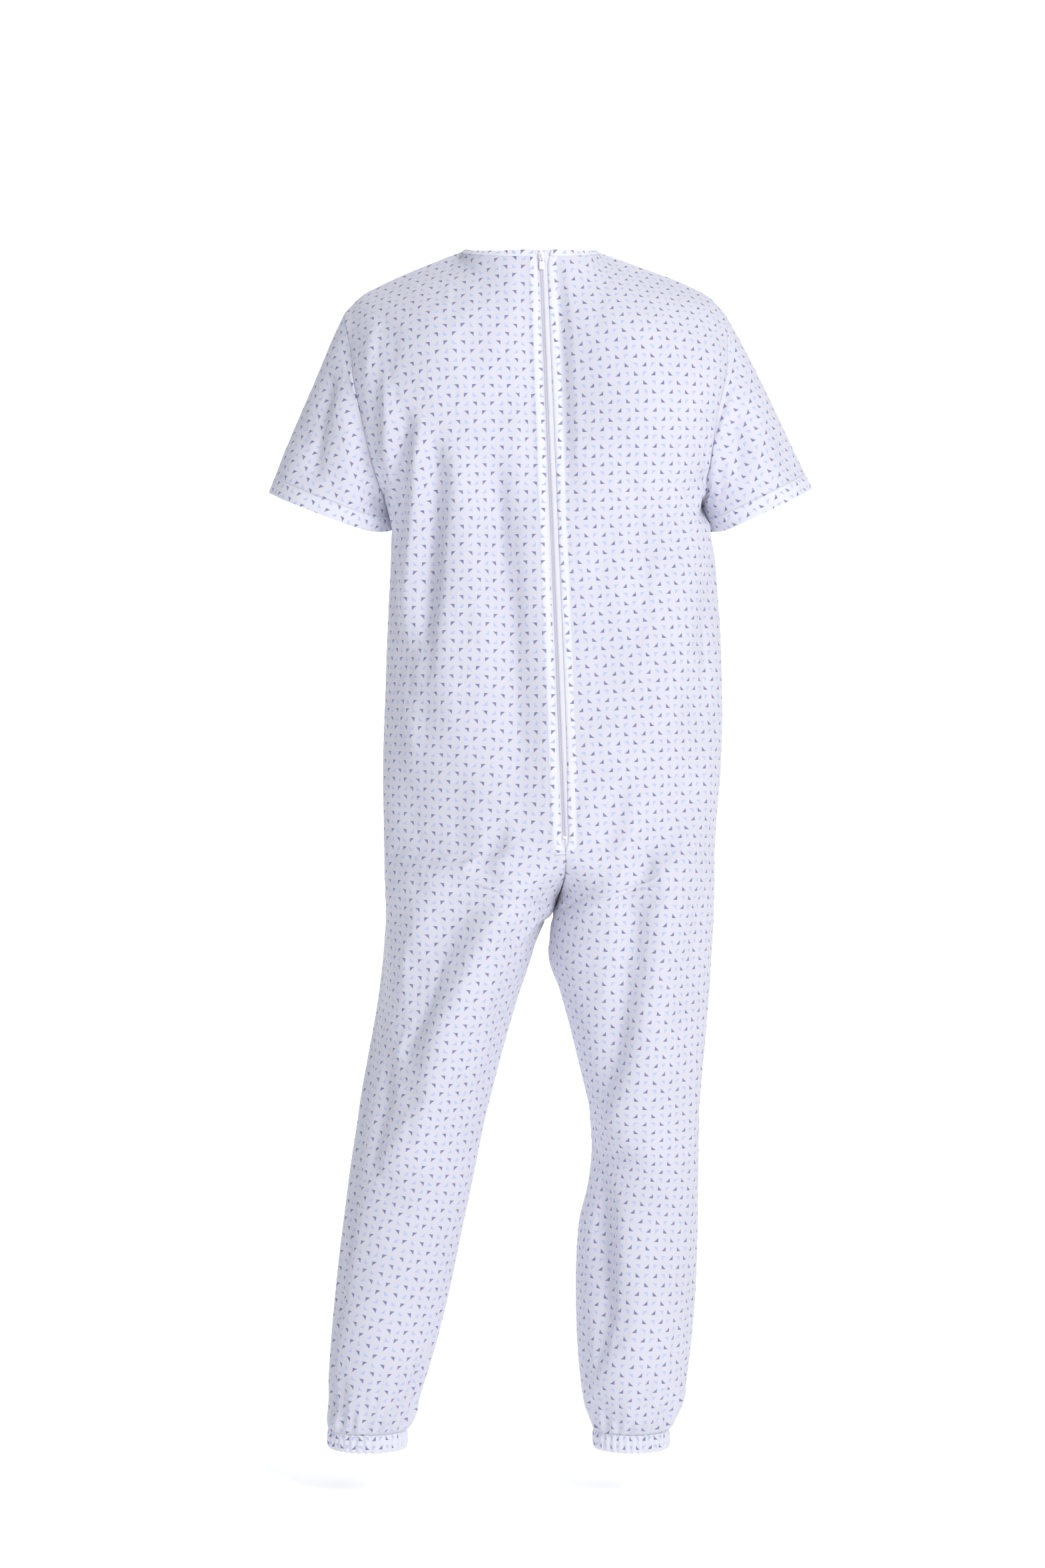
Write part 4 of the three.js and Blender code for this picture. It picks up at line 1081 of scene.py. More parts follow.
class Wiring:
    """Short ways to add and join nodes in one node tree."""

    def __init__(self, tree):
        self.tree = tree

    def feed(self, value, socket):
        if isinstance(value, bpy.types.Node):
            value = value.outputs[0]
        if isinstance(value, bpy.types.NodeSocket):
            self.tree.links.new(value, socket)
        elif value is not None:
            socket.default_value = value

    def add(self, kind, feeds=None, **settings):
        """A new node with its settings, and with its inputs fed by name or number."""
        node = self.tree.nodes.new(kind)
        for name, value in settings.items():
            setattr(node, name, value)
        for key, value in (feeds or {}).items():
            self.feed(value, node.inputs[key])
        return node

    def math(self, operation, *values):
        return self.add("ShaderNodeMath", dict(enumerate(values)), operation=operation).outputs[0]

    def plus(self, a, b):
        return self.math("ADD", a, b)

    def minus(self, a, b):
        return self.math("SUBTRACT", a, b)

    def times(self, a, b):
        return self.math("MULTIPLY", a, b)

    def over(self, a, b):
        return self.math("DIVIDE", a, b)

    def humps(self, value, rate):
        """A row of half waves, all of them upwards."""
        return self.math("ABSOLUTE", self.math("SINE", self.times(value, rate)))

    def spread(self, *values):
        """A value brought from (low, high) to (0, 1), or to the two values given after these."""
        feeds = dict(enumerate(values))
        return self.add("ShaderNodeMapRange", feeds, interpolation_type="SMOOTHSTEP").outputs[0]

    def noise(self, vector, scale, detail=2.0, rough=0.5, warp=0.0):
        feeds = {"Vector": vector, "Scale": scale, "Detail": detail, "Roughness": rough, "Distortion": warp}
        return self.add("ShaderNodeTexNoise", feeds).outputs["Fac"]

    def split(self, vector):
        return self.add("ShaderNodeSeparateXYZ", {0: vector}).outputs

    def join(self, x, y, z):
        return self.add("ShaderNodeCombineXYZ", {0: x, 1: y, 2: z}).outputs[0]

    def scaled(self, vector, scale):
        return self.add("ShaderNodeVectorMath", {0: vector, 1: scale}, operation="MULTIPLY").outputs[0]

    def toned(self, colour, tone):
        """A colour or vector made larger or smaller by one value."""
        return self.add("ShaderNodeVectorMath", {0: colour, "Scale": tone}, operation="SCALE").outputs[0]

    def mix(self, share, a, b):
        node = self.add("ShaderNodeMix", {"Factor": share, "A": a, "B": b}, data_type="RGBA")
        return next(s for s in node.outputs if s.name == "Result" and s.type == "RGBA")

    def bump(self, height, distance, strength, normal=None):
        return self.add("ShaderNodeBump", {
            "Height": height, "Distance": distance, "Strength": strength, "Normal": normal}).outputs[0]

    def group(self, name, **values):
        feeds = {key.replace("_", " "): value for key, value in values.items()}
        return self.add("ShaderNodeGroup", feeds, node_tree=bpy.data.node_groups[name]).outputs

    def cloth_place(self):
        return self.add("ShaderNodeUVMap", uv_map="Cloth").outputs[0]

    def object_place(self):
        return self.add("ShaderNodeTexCoord").outputs["Object"]


def new_tree(name, inputs, outputs, kind="ShaderNodeTree"):
    """An empty node group with named sockets: its wiring, the values given to it and those it gives."""
    tree = bpy.data.node_groups.new(name, kind)
    for label, socket_type, default in inputs:
        socket = tree.interface.new_socket(label, in_out="INPUT", socket_type=socket_type)
        if default is not None:
            socket.default_value = default
    for label, socket_type in outputs:
        tree.interface.new_socket(label, in_out="OUTPUT", socket_type=socket_type)
    wiring = Wiring(tree)
    return wiring, wiring.add("NodeGroupInput").outputs, wiring.add("NodeGroupOutput").inputs


FLOAT, VECTOR, GEOMETRY = "NodeSocketFloat", "NodeSocketVector", "NodeSocketGeometry"


def build_triangle_print():
    """Small right triangles on a square lattice, printed in two inks, turned this way and that."""
    w, given, out = new_tree(
        "Triangle print",
        [("Vector", VECTOR, None), ("Pitch", FLOAT, 0.0108), ("Leg", FLOAT, 0.0057), ("Softness", FLOAT, 0.04)],
        [("Dark ink", FLOAT), ("Light ink", FLOAT)])
    wander = w.add("ShaderNodeTexNoise", {"Vector": given["Vector"], "Scale": 900})
    shift = w.add("ShaderNodeVectorMath", {
        0: wander.outputs["Color"], 1: (0.00035, 0.00035, 0), 2: given["Vector"]}, operation="MULTIPLY_ADD")
    u, v, _ = w.split(shift)
    gx = w.over(u, given["Pitch"])
    gy = w.over(v, given["Pitch"])
    column, row = w.math("FLOOR", gx), w.math("FLOOR", gy)
    light = w.math("FLOORED_MODULO", w.plus(column, row), 2)
    pair = w.plus(*(w.math("FLOOR", w.over(place, 2)) for place in (column, row)))
    turned = w.math("FLOORED_MODULO", w.plus(light, pair), 2)
    size = w.over(given["Leg"], given["Pitch"])

    def from_corner(place, cell, flip):
        middle = w.minus(w.minus(place, cell), 0.5)
        sign = w.minus(1, w.times(flip, 2))
        signed = w.times(middle, sign)
        return w.over(w.plus(signed, w.times(size, 0.42)), size)

    a = from_corner(gx, column, turned)
    b = from_corner(gy, row, light)
    edge = w.plus(*(w.math("POWER", w.math("MAXIMUM", side, 0), 0.9) for side in (a, b)))
    soft = given["Softness"]
    inside = w.spread(edge, w.plus(1, soft), w.minus(1, soft))
    for side in (a, b):
        inside = w.times(inside, w.spread(side, w.times(soft, -1), soft))
    w.feed(w.times(inside, w.minus(1, light)), out["Dark ink"])
    w.feed(w.times(inside, light), out["Light ink"])


def build_plain_weave():
    """Over-and-under threads: their height, and how much light is lost between them."""
    w, given, out = new_tree(
        "Plain weave",
        [("Vector", VECTOR, None), ("Thread spacing", FLOAT, 0.0005), ("Unevenness", FLOAT, 0.5)],
        [("Height", FLOAT), ("Gaps", FLOAT), ("Slubs", FLOAT)])
    u, v, _ = w.split(given["Vector"])
    sway = w.times(w.minus(w.noise(given["Vector"], 160, 2), 0.5), 1.2)
    x = w.plus(w.over(u, given["Thread spacing"]), sway)
    y = w.plus(w.over(v, given["Thread spacing"]), sway)
    over = w.math("FLOORED_MODULO", w.plus(w.math("FLOOR", x), w.math("FLOOR", y)), 2)
    round_x, round_y = w.humps(x, math.pi), w.humps(y, math.pi)
    w.feed(w.plus(w.times(round_x, over), w.times(round_y, w.minus(1, over))), out["Height"])
    w.feed(w.minus(1, w.times(round_x, round_y)), out["Gaps"])
    long_threads = w.noise(w.scaled(given["Vector"], (900, 40, 1)), 1, 2, 0.6)
    cross_threads = w.noise(w.scaled(given["Vector"], (35, 1100, 1)), 1, 2, 0.6)
    slub = w.plus(w.times(long_threads, 0.5), w.times(cross_threads, 0.5))
    w.feed(w.times(w.minus(slub, 0.5), given["Unevenness"]), out["Slubs"])


def build_soft_creases():
    """Fine wear creases and the light rumpling of washed cotton."""
    w, given, out = new_tree(
        "Soft creases",
        [("Vector", VECTOR, None), ("Scale", FLOAT, 1.0)],
        [("Height", FLOAT), ("Tone", FLOAT)])
    place = w.toned(given["Vector"], given["Scale"])

    def ridge(scale, spacing, warp):
        value = w.noise(w.scaled(place, scale), spacing, 2, 0.5, warp)
        folded = w.math("ABSOLUTE", w.minus(value, 0.5))
        return w.minus(1, w.spread(folded, 0.0, 0.09))

    upright = ridge((1.0, 1.0, 0.35), 26, 0.6)
    slanted = ridge((0.8, 0.8, 1.1), 17, 0.9)
    where = w.spread(w.noise(place, 7, 2), 0.42, 0.62)
    swell = w.noise(place, 34, 3, 0.55)
    height = w.times(w.plus(w.times(upright, 0.6), w.times(slanted, 0.4)), where)
    w.feed(w.plus(w.times(height, 0.5), swell), out["Height"])
    w.feed(w.noise(place, 11, 3, 0.6), out["Tone"])


def build_thread_twist():
    """Twisted strands along a thread, read from Object coordinates."""
    w, given, out = new_tree(
        "Thread twist", [("Vector", VECTOR, None), ("Scale", FLOAT, 2600.0)],
        [("Height", FLOAT), ("Tone", FLOAT)])
    wave = w.add("ShaderNodeTexWave", {"Vector": given["Vector"], "Scale": given["Scale"]},
                 wave_type="BANDS", bands_direction="DIAGONAL")
    w.feed(wave.outputs["Fac"], out["Height"])
    w.feed(w.noise(given["Vector"], 900, 2), out["Tone"])


def build_handling_wear():
    """Grime and rubbing on hard parts: more wear where edges are high, fine scratches elsewhere."""
    w, given, out = new_tree(
        "Handling wear", [("Vector", VECTOR, None), ("Amount", FLOAT, 0.4)],
        [("Edges", FLOAT), ("Scratches", FLOAT), ("Smears", FLOAT)])
    geometry = w.add("ShaderNodeNewGeometry")
    high = w.spread(geometry.outputs["Pointiness"], 0.52, 0.62)
    broken = w.spread(w.noise(given["Vector"], 1400, 3), 0.42, 0.6)
    w.feed(w.times(w.times(high, broken), given["Amount"]), out["Edges"])
    lines = w.noise(w.scaled(given["Vector"], (3000, 3000, 300)), 1, 3, 0.6, 0.3)
    w.feed(w.times(w.spread(lines, 0.6, 0.72), given["Amount"]), out["Scratches"])
    w.feed(w.noise(given["Vector"], 420, 3, 0.6), out["Smears"])


def build_shader_groups():
    build_triangle_print()
    build_plain_weave()
    build_soft_creases()
    build_thread_twist()
    build_handling_wear()


# ------------------------------------------------------------------ materials


def rgba(colour, share=1.0):
    return tuple(v * share for v in colour) + (1.0,)


def new_material(name, roughness, sheen=0.0, specular=0.5):
    material = bpy.data.materials.new(name)
    material.use_nodes = True
    wiring = Wiring(material.node_tree)
    shader = material.node_tree.nodes["Principled BSDF"]
    shader.inputs["Roughness"].default_value = roughness
    shader.inputs["Specular IOR Level"].default_value = specular
    if sheen:
        shader.inputs["Sheen Weight"].default_value = sheen
        shader.inputs["Sheen Roughness"].default_value = 0.5
    return material, wiring, shader


def cloth_material(name, colours, ink, roughness):
    """Printed cotton: weave, two inks, soft creases and a little loss of colour with washing.

    Where the cloth is doubled it lets less light through and looks whiter."""
    single, doubled, dark, light = (rgba(c) for c in colours)
    material, w, shader = new_material(name, roughness, sheen=0.25, specular=0.25)
    uv = w.cloth_place()
    place = w.object_place()
    layers = w.add("ShaderNodeAttribute", attribute_name="doubled").outputs["Fac"]
    printed = w.group("Triangle print", Vector=uv)
    weave = w.group("Plain weave", Vector=uv, Thread_spacing=0.00055, Unevenness=0.6)
    creases = w.group("Soft creases", Vector=place)
    strength = w.times(w.spread(w.noise(uv, 240, 2), 0.25, 0.75, 0.84, 1.0), ink)
    base = w.mix(layers, single, doubled)
    colour = w.mix(w.times(printed["Light ink"], strength), base, light)
    colour = w.mix(w.times(printed["Dark ink"], strength), colour, dark)
    tone = w.plus(w.spread(creases["Tone"], 0.25, 0.75, 0.975, 1.015), w.times(weave["Slubs"], 0.16))
    # Painted shade: the gaps between the threads are darkened a little.
    tone = w.minus(tone, w.times(w.math("POWER", weave["Gaps"], 3), 0.05))
    w.feed(w.toned(colour, tone), shader.inputs["Base Color"])
    w.feed(w.spread(creases["Tone"], 0.2, 0.8, roughness - 0.05, roughness + 0.05), shader.inputs["Roughness"])
    normal = w.bump(creases["Height"], 0.0022, 0.55)
    normal = w.bump(w.plus(weave["Height"], w.times(weave["Slubs"], 1.2)), 0.00012, 0.7, normal)
    w.feed(normal, shader.inputs["Normal"])
    return material


def tape_material(name, colour, line):
    """Woven tape: fine herringbone, with a painted shade line along the chain side, where the coil's edge meets
    the tape.
    """
    material, w, shader = new_material(name, 0.72, sheen=0.2, specular=0.3)
    uv = w.cloth_place()
    u, v, _ = w.split(uv)
    weave = w.group("Plain weave", Vector=uv, Thread_spacing=0.0004, Unevenness=0.8)
    leaning = w.math("ABSOLUTE", w.minus(w.math("FLOORED_MODULO", w.over(u, 0.0018), 1), 0.5))
    twill = w.math("FLOORED_MODULO", w.plus(w.times(leaning, 2), w.over(v, 0.0011)), 1)
    rib = w.spread(w.math("ABSOLUTE", w.minus(twill, 0.5)), 0.1, 0.4)
    # Painted shade: a lavender line on the tape where the edge of the coil meets it.
    coil_shade_mask = w.spread(w.math("ABSOLUTE", w.minus(u, 0.0022)), 0.0005, 0.0002)
    with_coil_shade = w.mix(w.times(coil_shade_mask, 0.6), rgba(colour), rgba(line))
    # Painted shade: the twill's grooves are a little darker than its ribs.
    tone = w.plus(w.times(rib, 0.04), w.plus(w.times(weave["Slubs"], 0.1), 0.97))
    w.feed(w.toned(with_coil_shade, tone), shader.inputs["Base Color"])
    w.feed(w.spread(weave["Slubs"], -0.3, 0.3, 0.66, 0.78), shader.inputs["Roughness"])
    w.feed(w.bump(w.plus(rib, w.times(weave["Height"], 0.5)), 0.0002, 0.7), shader.inputs["Normal"])
    return material


def thread_material(name, colour):
    material, w, shader = new_material(name, 0.55, sheen=0.15, specular=0.4)
    place = w.object_place()
    twist = w.group("Thread twist", Vector=place)
    tone = w.spread(twist["Tone"], 0.3, 0.7)
    w.feed(w.mix(tone, rgba(colour, 0.86), rgba(colour)), shader.inputs["Base Color"])
    w.feed(w.bump(twist["Height"], 0.00012, 0.6), shader.inputs["Normal"])
    return material


def nylon_material(name, colour):
    """Smooth nylon monofilament, a little milky."""
    material, w, shader = new_material(name, 0.34, specular=0.5)
    place = w.object_place()
    twist = w.group("Thread twist", Vector=place, Scale=900.0)
    tone = w.spread(twist["Tone"], 0.35, 0.65)
    w.feed(w.mix(tone, rgba(colour, 0.9), rgba(colour)), shader.inputs["Base Color"])
    w.feed(w.spread(twist["Tone"], 0.3, 0.7, 0.28, 0.42), shader.inputs["Roughness"])
    w.feed(w.bump(twist["Tone"], 0.00006, 0.4), shader.inputs["Normal"])
    return material


def enamel_material(name, colour, metal):
    """White enamel over pressed metal, worn a little on its edges."""
    material, w, shader = new_material(name, 0.3, specular=0.5)
    shader.inputs["Coat Weight"].default_value = 0.35
    shader.inputs["Coat Roughness"].default_value = 0.12
    place = w.object_place()
    wear = w.group("Handling wear", Vector=place, Amount=0.35)
    base = w.mix(w.spread(wear["Smears"], 0.3, 0.75), rgba(colour), rgba(colour, 0.95))
    w.feed(w.mix(wear["Edges"], base, rgba(metal)), shader.inputs["Base Color"])
    w.feed(wear["Edges"], shader.inputs["Metallic"])
    rough = w.plus(w.spread(wear["Smears"], 0.2, 0.8, 0.24, 0.38), w.times(wear["Scratches"], 0.2))
    w.feed(rough, shader.inputs["Roughness"])
    w.feed(w.bump(wear["Smears"], 0.00005, 0.4), shader.inputs["Normal"])
    return material


def elastic_material(name, colour):
    """Braided elastic: fine upright ribs, crossed by the rubber's short waves."""
    material, w, shader = new_material(name, 0.78, sheen=0.15, specular=0.3)
    uv = w.cloth_place()
    u, v, _ = w.split(uv)
    rib, wave = w.humps(v, math.pi / 0.0014), w.humps(u, math.pi / 0.0011)
    weave = w.group("Plain weave", Vector=uv, Thread_spacing=0.0006, Unevenness=0.5)
    # Painted shade: the grooves between the ribs are a little darker.
    tone = w.plus(w.times(rib, 0.12), w.plus(0.86, w.times(weave["Slubs"], 0.2)))
    w.feed(w.toned(colour, tone), shader.inputs["Base Color"])
    w.feed(w.bump(w.plus(rib, w.times(wave, 0.5)), 0.0004, 0.8), shader.inputs["Normal"])
    return material


def stage_material(name, colour):
    material, w, shader = new_material(name, 0.9, specular=0.2)
    place = w.object_place()
    tone = w.spread(w.noise(place, 3, 3), 0.3, 0.7)
    w.feed(w.mix(tone, rgba(colour, 0.985), rgba(colour)), shader.inputs["Base Color"])
    # The far end of the floor and the wall glow like a lit white screen.
    glow = w.spread(w.split(place)["Y"], -0.6, 3.0)
    w.feed(w.mix(glow, (0.24, 0.24, 0.24, 1), (1, 1, 1, 1)), shader.inputs["Emission Color"])
    shader.inputs["Emission Strength"].default_value = 1.0
    return material


# ------------------------------------------------------------------ geometry node trees


def modifier_tree(name, inputs):
    return new_tree(name, [("Geometry", GEOMETRY, None), *inputs], [("Geometry", GEOMETRY)], "GeometryNodeTree")


def place_along(w, given, out, instance, **feeds):
    """Ends a tree: an instance at each pitch along the lines of the mesh, all made into one mesh."""
    curve = w.add("GeometryNodeMeshToCurve", {"Mesh": given["Geometry"]})
    points = w.add("GeometryNodeResampleCurve", {"Curve": curve, "Length": given["Pitch"]}, mode="LENGTH")
    placed = w.add("GeometryNodeInstanceOnPoints", {"Points": points, "Instance": instance, **feeds})
    realized = w.add("GeometryNodeRealizeInstances", {0: placed})
    smooth = w.add("GeometryNodeSetShadeSmooth", {"Geometry": realized})
    painted = w.add("GeometryNodeSetMaterial", {"Geometry": smooth, "Material": given["Material"]})
    w.feed(painted, out["Geometry"])


def build_stitch_row():
    """Thread stitches, end to end along every line of the mesh, lying on the cloth."""
    w, given, out = modifier_tree("Stitch row", [
        ("Pitch", FLOAT, 0.003), ("Stitch length", FLOAT, 0.0023), ("Thread width", FLOAT, 0.0005),
        ("Unevenness", FLOAT, 0.08), ("Seed", "NodeSocketInt", 3), ("Material", "NodeSocketMaterial", None)])
    width, most = given["Thread width"], given["Unevenness"]
    least = w.times(most, -1)
    ball = w.add("GeometryNodeMeshUVSphere", {"Segments": 6, "Rings": 5, "Radius": 0.5})
    shape = w.add("GeometryNodeTransform", {
        "Geometry": ball, "Scale": w.join(given["Stitch length"], width, w.times(width, 0.8))})
    tangent = w.add("GeometryNodeInputTangent")
    outward = w.add("GeometryNodeInputNamedAttribute", {"Name": "outward"}, data_type="FLOAT_VECTOR")
    along = w.add("FunctionNodeAlignRotationToVector", {"Vector": tangent}, axis="X")
    facing = w.add("FunctionNodeAlignRotationToVector", {"Rotation": along, "Vector": outward},
                   axis="Z", pivot_axis="X")
    wobble = w.add("FunctionNodeRandomValue", {
        "Min": w.join(least, least, least), "Max": w.join(most, most, most), "Seed": given["Seed"]},
        data_type="FLOAT_VECTOR")
    wobbled = w.add("FunctionNodeEulerToRotation", {0: wobble})
    turn = w.add("FunctionNodeRotateRotation", {"Rotation": facing, "Rotate By": wobbled},
                 rotation_space="LOCAL")
    place_along(w, given, out, shape, Rotation=turn)


def build_coil_row():
    """Nylon coil turns at an even pitch along a line."""
    w, given, out = modifier_tree("Coil row", [
        ("Pitch", FLOAT, 0.0013), ("Turn", "NodeSocketObject", None), ("Unevenness", FLOAT, 0.02),
        ("Seed", "NodeSocketInt", 5), ("Material", "NodeSocketMaterial", None)])
    turn = w.add("GeometryNodeObjectInfo", {"Object": given["Turn"]}, transform_space="ORIGINAL")
    size = w.add("FunctionNodeRandomValue", {
        2: w.minus(1, given["Unevenness"]), 3: 1.0, "Seed": given["Seed"]}, data_type="FLOAT")
    place_along(w, given, out, turn.outputs["Geometry"], Scale=size.outputs[1])


def baked_from_tree(name, points, edges, outward, tree_name, values, material):
    """Lines of points run through a node tree, and the result kept as one plain mesh."""
    mesh = bpy.data.meshes.new(name + "_lines")
    mesh.from_pydata([tuple(p) for p in np.asarray(points) * MM], edges, [])
    if outward is not None:
        attribute = mesh.attributes.new("outward", "FLOAT_VECTOR", "POINT")
        attribute.data.foreach_set("vector", np.asarray(outward, np.float32).ravel())
    lines = bpy.data.objects.new(name + "_lines", mesh)
    bpy.context.scene.collection.objects.link(lines)
    modifier = lines.modifiers.new(tree_name, "NODES")
    modifier.node_group = bpy.data.node_groups[tree_name]
    sockets = {item.name: item.identifier for item in modifier.node_group.interface.items_tree
               if item.item_type == "SOCKET" and item.in_out == "INPUT"}
    for label, value in dict(values, Material=material).items():
        modifier[sockets[label]] = value
    graph = bpy.context.evaluated_depsgraph_get()
    graph.update()
    result = bpy.data.meshes.new_from_object(lines.evaluated_get(graph))
    lines.modifiers.remove(modifier)
    bpy.data.objects.remove(lines)
    bpy.data.meshes.remove(mesh)
    if not len(result.polygons):
        raise RuntimeError(f"{tree_name} made nothing for {name}")
    result.name = name
    if not result.materials or result.materials[0] is None:
        result.materials.clear()
        result.materials.append(material)
    obj = bpy.data.objects.new(name, result)
    bpy.context.scene.collection.objects.link(obj)
    return obj


def stitches(name, lines, thread, length, pitch, width, seed):
    """Stitches along lines, each (points, outward directions, closed)."""
    points, outward, edges = [], [], []
    for line, normals, closed in lines:
        start = len(points)
        points += [tuple(p) for p in line]
        outward += [tuple(n) for n in normals]
        edges += [(start + k, start + k + 1) for k in range(len(line) - 1)]
        if closed:
            edges.append((start + len(line) - 1, start))
    return baked_from_tree(name, points, edges, outward, "Stitch row", {
        "Pitch": pitch * MM, "Stitch length": length * MM, "Thread width": width * MM, "Seed": seed}, thread)


# ------------------------------------------------------------------ lines on the cloth


def row_line(part, distance, keep, from_end=False, lift=0.0):
    """The line that lies at a distance from a part's first (or last) column, over the kept rows."""
    normals = grid_normals(part.grid, part.out)
    across = run_lengths(part.grid, 1)
    if from_end:
        across = across[:, -1:] - across
    line, outward = [], []
    for j in np.nonzero(keep)[0]:
        order = across[j][::-1] if from_end else across[j]
        rows = part.grid[j][::-1] if from_end else part.grid[j]
        facing = normals[j][::-1] if from_end else normals[j]
        point = np.array([np.interp(distance, order, rows[:, c]) for c in range(3)])
        normal = unit([np.interp(distance, order, facing[:, c]) for c in range(3)])
        line.append(point + normal * lift)
        outward.append(normal)
    return np.array(line), np.array(outward)


def ring_line(part, row, lift=0.0):
    """The closed line along one row of a tube."""
    normals = grid_normals(part.grid, part.out, True)
    return (part.grid[row] + normals[row] * lift)[:-1], normals[row][:-1]


def swept_part(path, outward, upward, section, out, closed=False, doubled=1.0, lengths=None):
    """A strip of cloth whose rows are the section's (outward, upward) places along a path."""
    section = np.asarray(section, float)
    grid = path[None] + outward[None] * section[:, None, :1] + upward[None] * section[:, None, 1:]
    across = run_lengths(section, 0)
    along = run_lengths(path, 0) if lengths is None else lengths
    flat = np.stack(np.broadcast_arrays(along[None, :], -across[:, None]), axis=-1) * MM
    return ClothPart(grid, flat, out, closed, np.full(grid.shape[:2], doubled))


# ------------------------------------------------------------------ shared work and finishes

WORK = {}  # the cut cloth, worked out once and used by every operator


def cloth():
    if "cloth" not in WORK:
        WORK["cloth"] = cut_cloth()
    return WORK["cloth"]


def material(name):
    return bpy.data.materials[name]


def declare_sheet(part, size=None, area=None):
    width, length = size or part.size()
    if size is None:
        area = polygon_area(part.flat)


def cloth_piece(name, node, part, look, thickness, slot, size=None, area=None):
    """Makes and places one sheet of cloth that stands for a CAD node."""
    obj = grid_mesh(name, part, material(look), thickness)
    finish_piece(obj, BODY, slot, node)
    declare_sheet(part, size, area)
    return obj


# ------------------------------------------------------------------ hems, neck and cuffs


def turned_hem(part, gap=1.3):
    """A hem band with its cloth turned up inside: outer layer, fold and inner layer in one grid."""
    normals = grid_normals(part.grid, part.out, True)
    puff = np.sin(math.pi * np.linspace(0, 1, len(part.grid))) ** 0.6
    outer = part.grid + normals * (0.4 * puff)[:, None, None]
    down = unit(part.grid[-1] - part.grid[-2])
    fold = [part.grid[-1] + normals[-1] * (0.1 - gap / 2) + down * 0.5]
    inner = (part.grid - normals * gap)[::-1]
    edge = part.flat[-1:]
    inner_flat = (2 * edge - part.flat)[::-1]
    grid = np.concatenate([outer, fold, inner])
    flat = np.concatenate([part.flat, edge, inner_flat])
    return ClothPart(grid, flat, part.out, True, np.full(grid.shape[:2], 0.45))


def neck_path():
    """The neckline from one zip edge round the front to the other, with its directions."""
    parts = cloth()
    places = fine_places(len(BACK_COLUMNS), 3)
    corner = int(np.nonzero(np.abs(places - NECK_COLUMN) < 1e-6)[0][0])
    path = np.concatenate([
        parts["left", "back"].grid[0, :corner], parts["left", "front"].grid[0, corner:0:-1],
        parts["right", "front"].grid[0, :corner], parts["right", "back"].grid[0, corner::-1],
    ])
    run = run_lengths(path, 0)
    even = np.linspace(0, run[-1], 300)
    path = np.stack([np.interp(even, run, path[:, c]) for c in range(3)], axis=-1)
    inward = np.stack([NECK_FRONT_X - path[:, 0], NECK_DEPTH_Y - path[:, 1], 0 * even], axis=-1)
    inward = unit(inward)
    from_end = np.minimum(even, even[-1] - even)
    lean = smoothstep(from_end, 8, 40)[:, None]
    near_zip = np.array([0.0, 1.0, 0.0])
    inward = unit(lerp(near_zip, inward, lean))
    beside = (np.abs(inward[:, :1]) * lean) ** 2  # over the shoulders it lies flatter
    upward = unit(np.array([0, 0, 1.0]) * (7.5 - 4 * beside) + inward * (3 + 3.5 * beside) * lean)
    outward = unit(-inward + upward * (inward * upward).sum(axis=1, keepdims=True))
    return path, outward, upward, even, from_end


NECKBAND_SECTION = (
    (0.25, -1.2), (0.5, 0.2), (0.85, 2.6), (0.95, 4.8), (0.8, 6.3), (0.35, 7.2), (-0.2, 7.35), (-0.7, 6.6),
    (-0.95, 4.8), (-1.0, 2.6), (-0.95, 0.6), (-0.9, -1.2),
)


def neckband_part():
    path, outward, upward, run, from_end = neck_path()
    rng = np.random.default_rng(31)
    pucker = 1 + 0.14 * np.sin(run / 3.1 + 2 * np.sin(run / 23)) + 0.05 * rng.standard_normal(len(run))
    # The two ends round over towards the zip.
    near = np.clip(from_end / 7, 0, 1)
    ending = 0.3 + 0.7 * np.sqrt(np.clip(1 - (1 - near) ** 2, 0, 1))
    upward = upward * ending[:, None]
    outward = outward * pucker[:, None]
    return swept_part(path, outward, upward, NECKBAND_SECTION, -1), path, outward, upward, from_end


CUFF_SECTION = (  # (outward from the casing's middle, up from the hem)
    (0.9, 23.0), (2.2, 21.4), (2.8, 17.5), (2.9, 12), (2.8, 7), (2.6, 3), (1.9, 0.9), (0.6, 0.2), (-0.9, 0.3),
    (-2.1, 1.2), (-2.5, 4), (-2.6, 9), (-2.5, 15), (-2.2, 19.5),
)


CUFF_WAVE = (0.5, 0.75, 0.95, 1.1, 1.0, 0.8, 0.7, 0.6, 0.6, 0.6, 0.5, 0.45, 0.35, 0.3)  # depth at each place
CUFF_FULLNESS = 1.35  # cloth round the cuff for each length round its casing


def cuff_ring(half, columns):
    """The hem line round one cuff: its angles, points and outward and upward directions, and its radius."""
    centre_x, centre_y = (float(v) for v in cuff_centre(half, CUFF_TOP_Z))
    radius_x = abs(float(half.side_x(CUFF_TOP_Z)) - centre_x) - CUFF_INSET
    radius_y = float(back_depth(CUFF_TOP_Z)) - CUFF_INSET
    turn = np.linspace(0, 2 * math.pi, columns + 1)
    outward = np.stack([np.cos(turn), np.sin(turn), 0 * turn], axis=-1)
    centre = np.array([centre_x, centre_y, CUFF_TOP_Z - CUFF_HEIGHT])
    path = centre + outward * np.array([radius_x, radius_y, 0])
    return turn, path, outward, np.tile([0.0, 0.0, 1.0], (columns + 1, 1)), (radius_x + radius_y) / 2


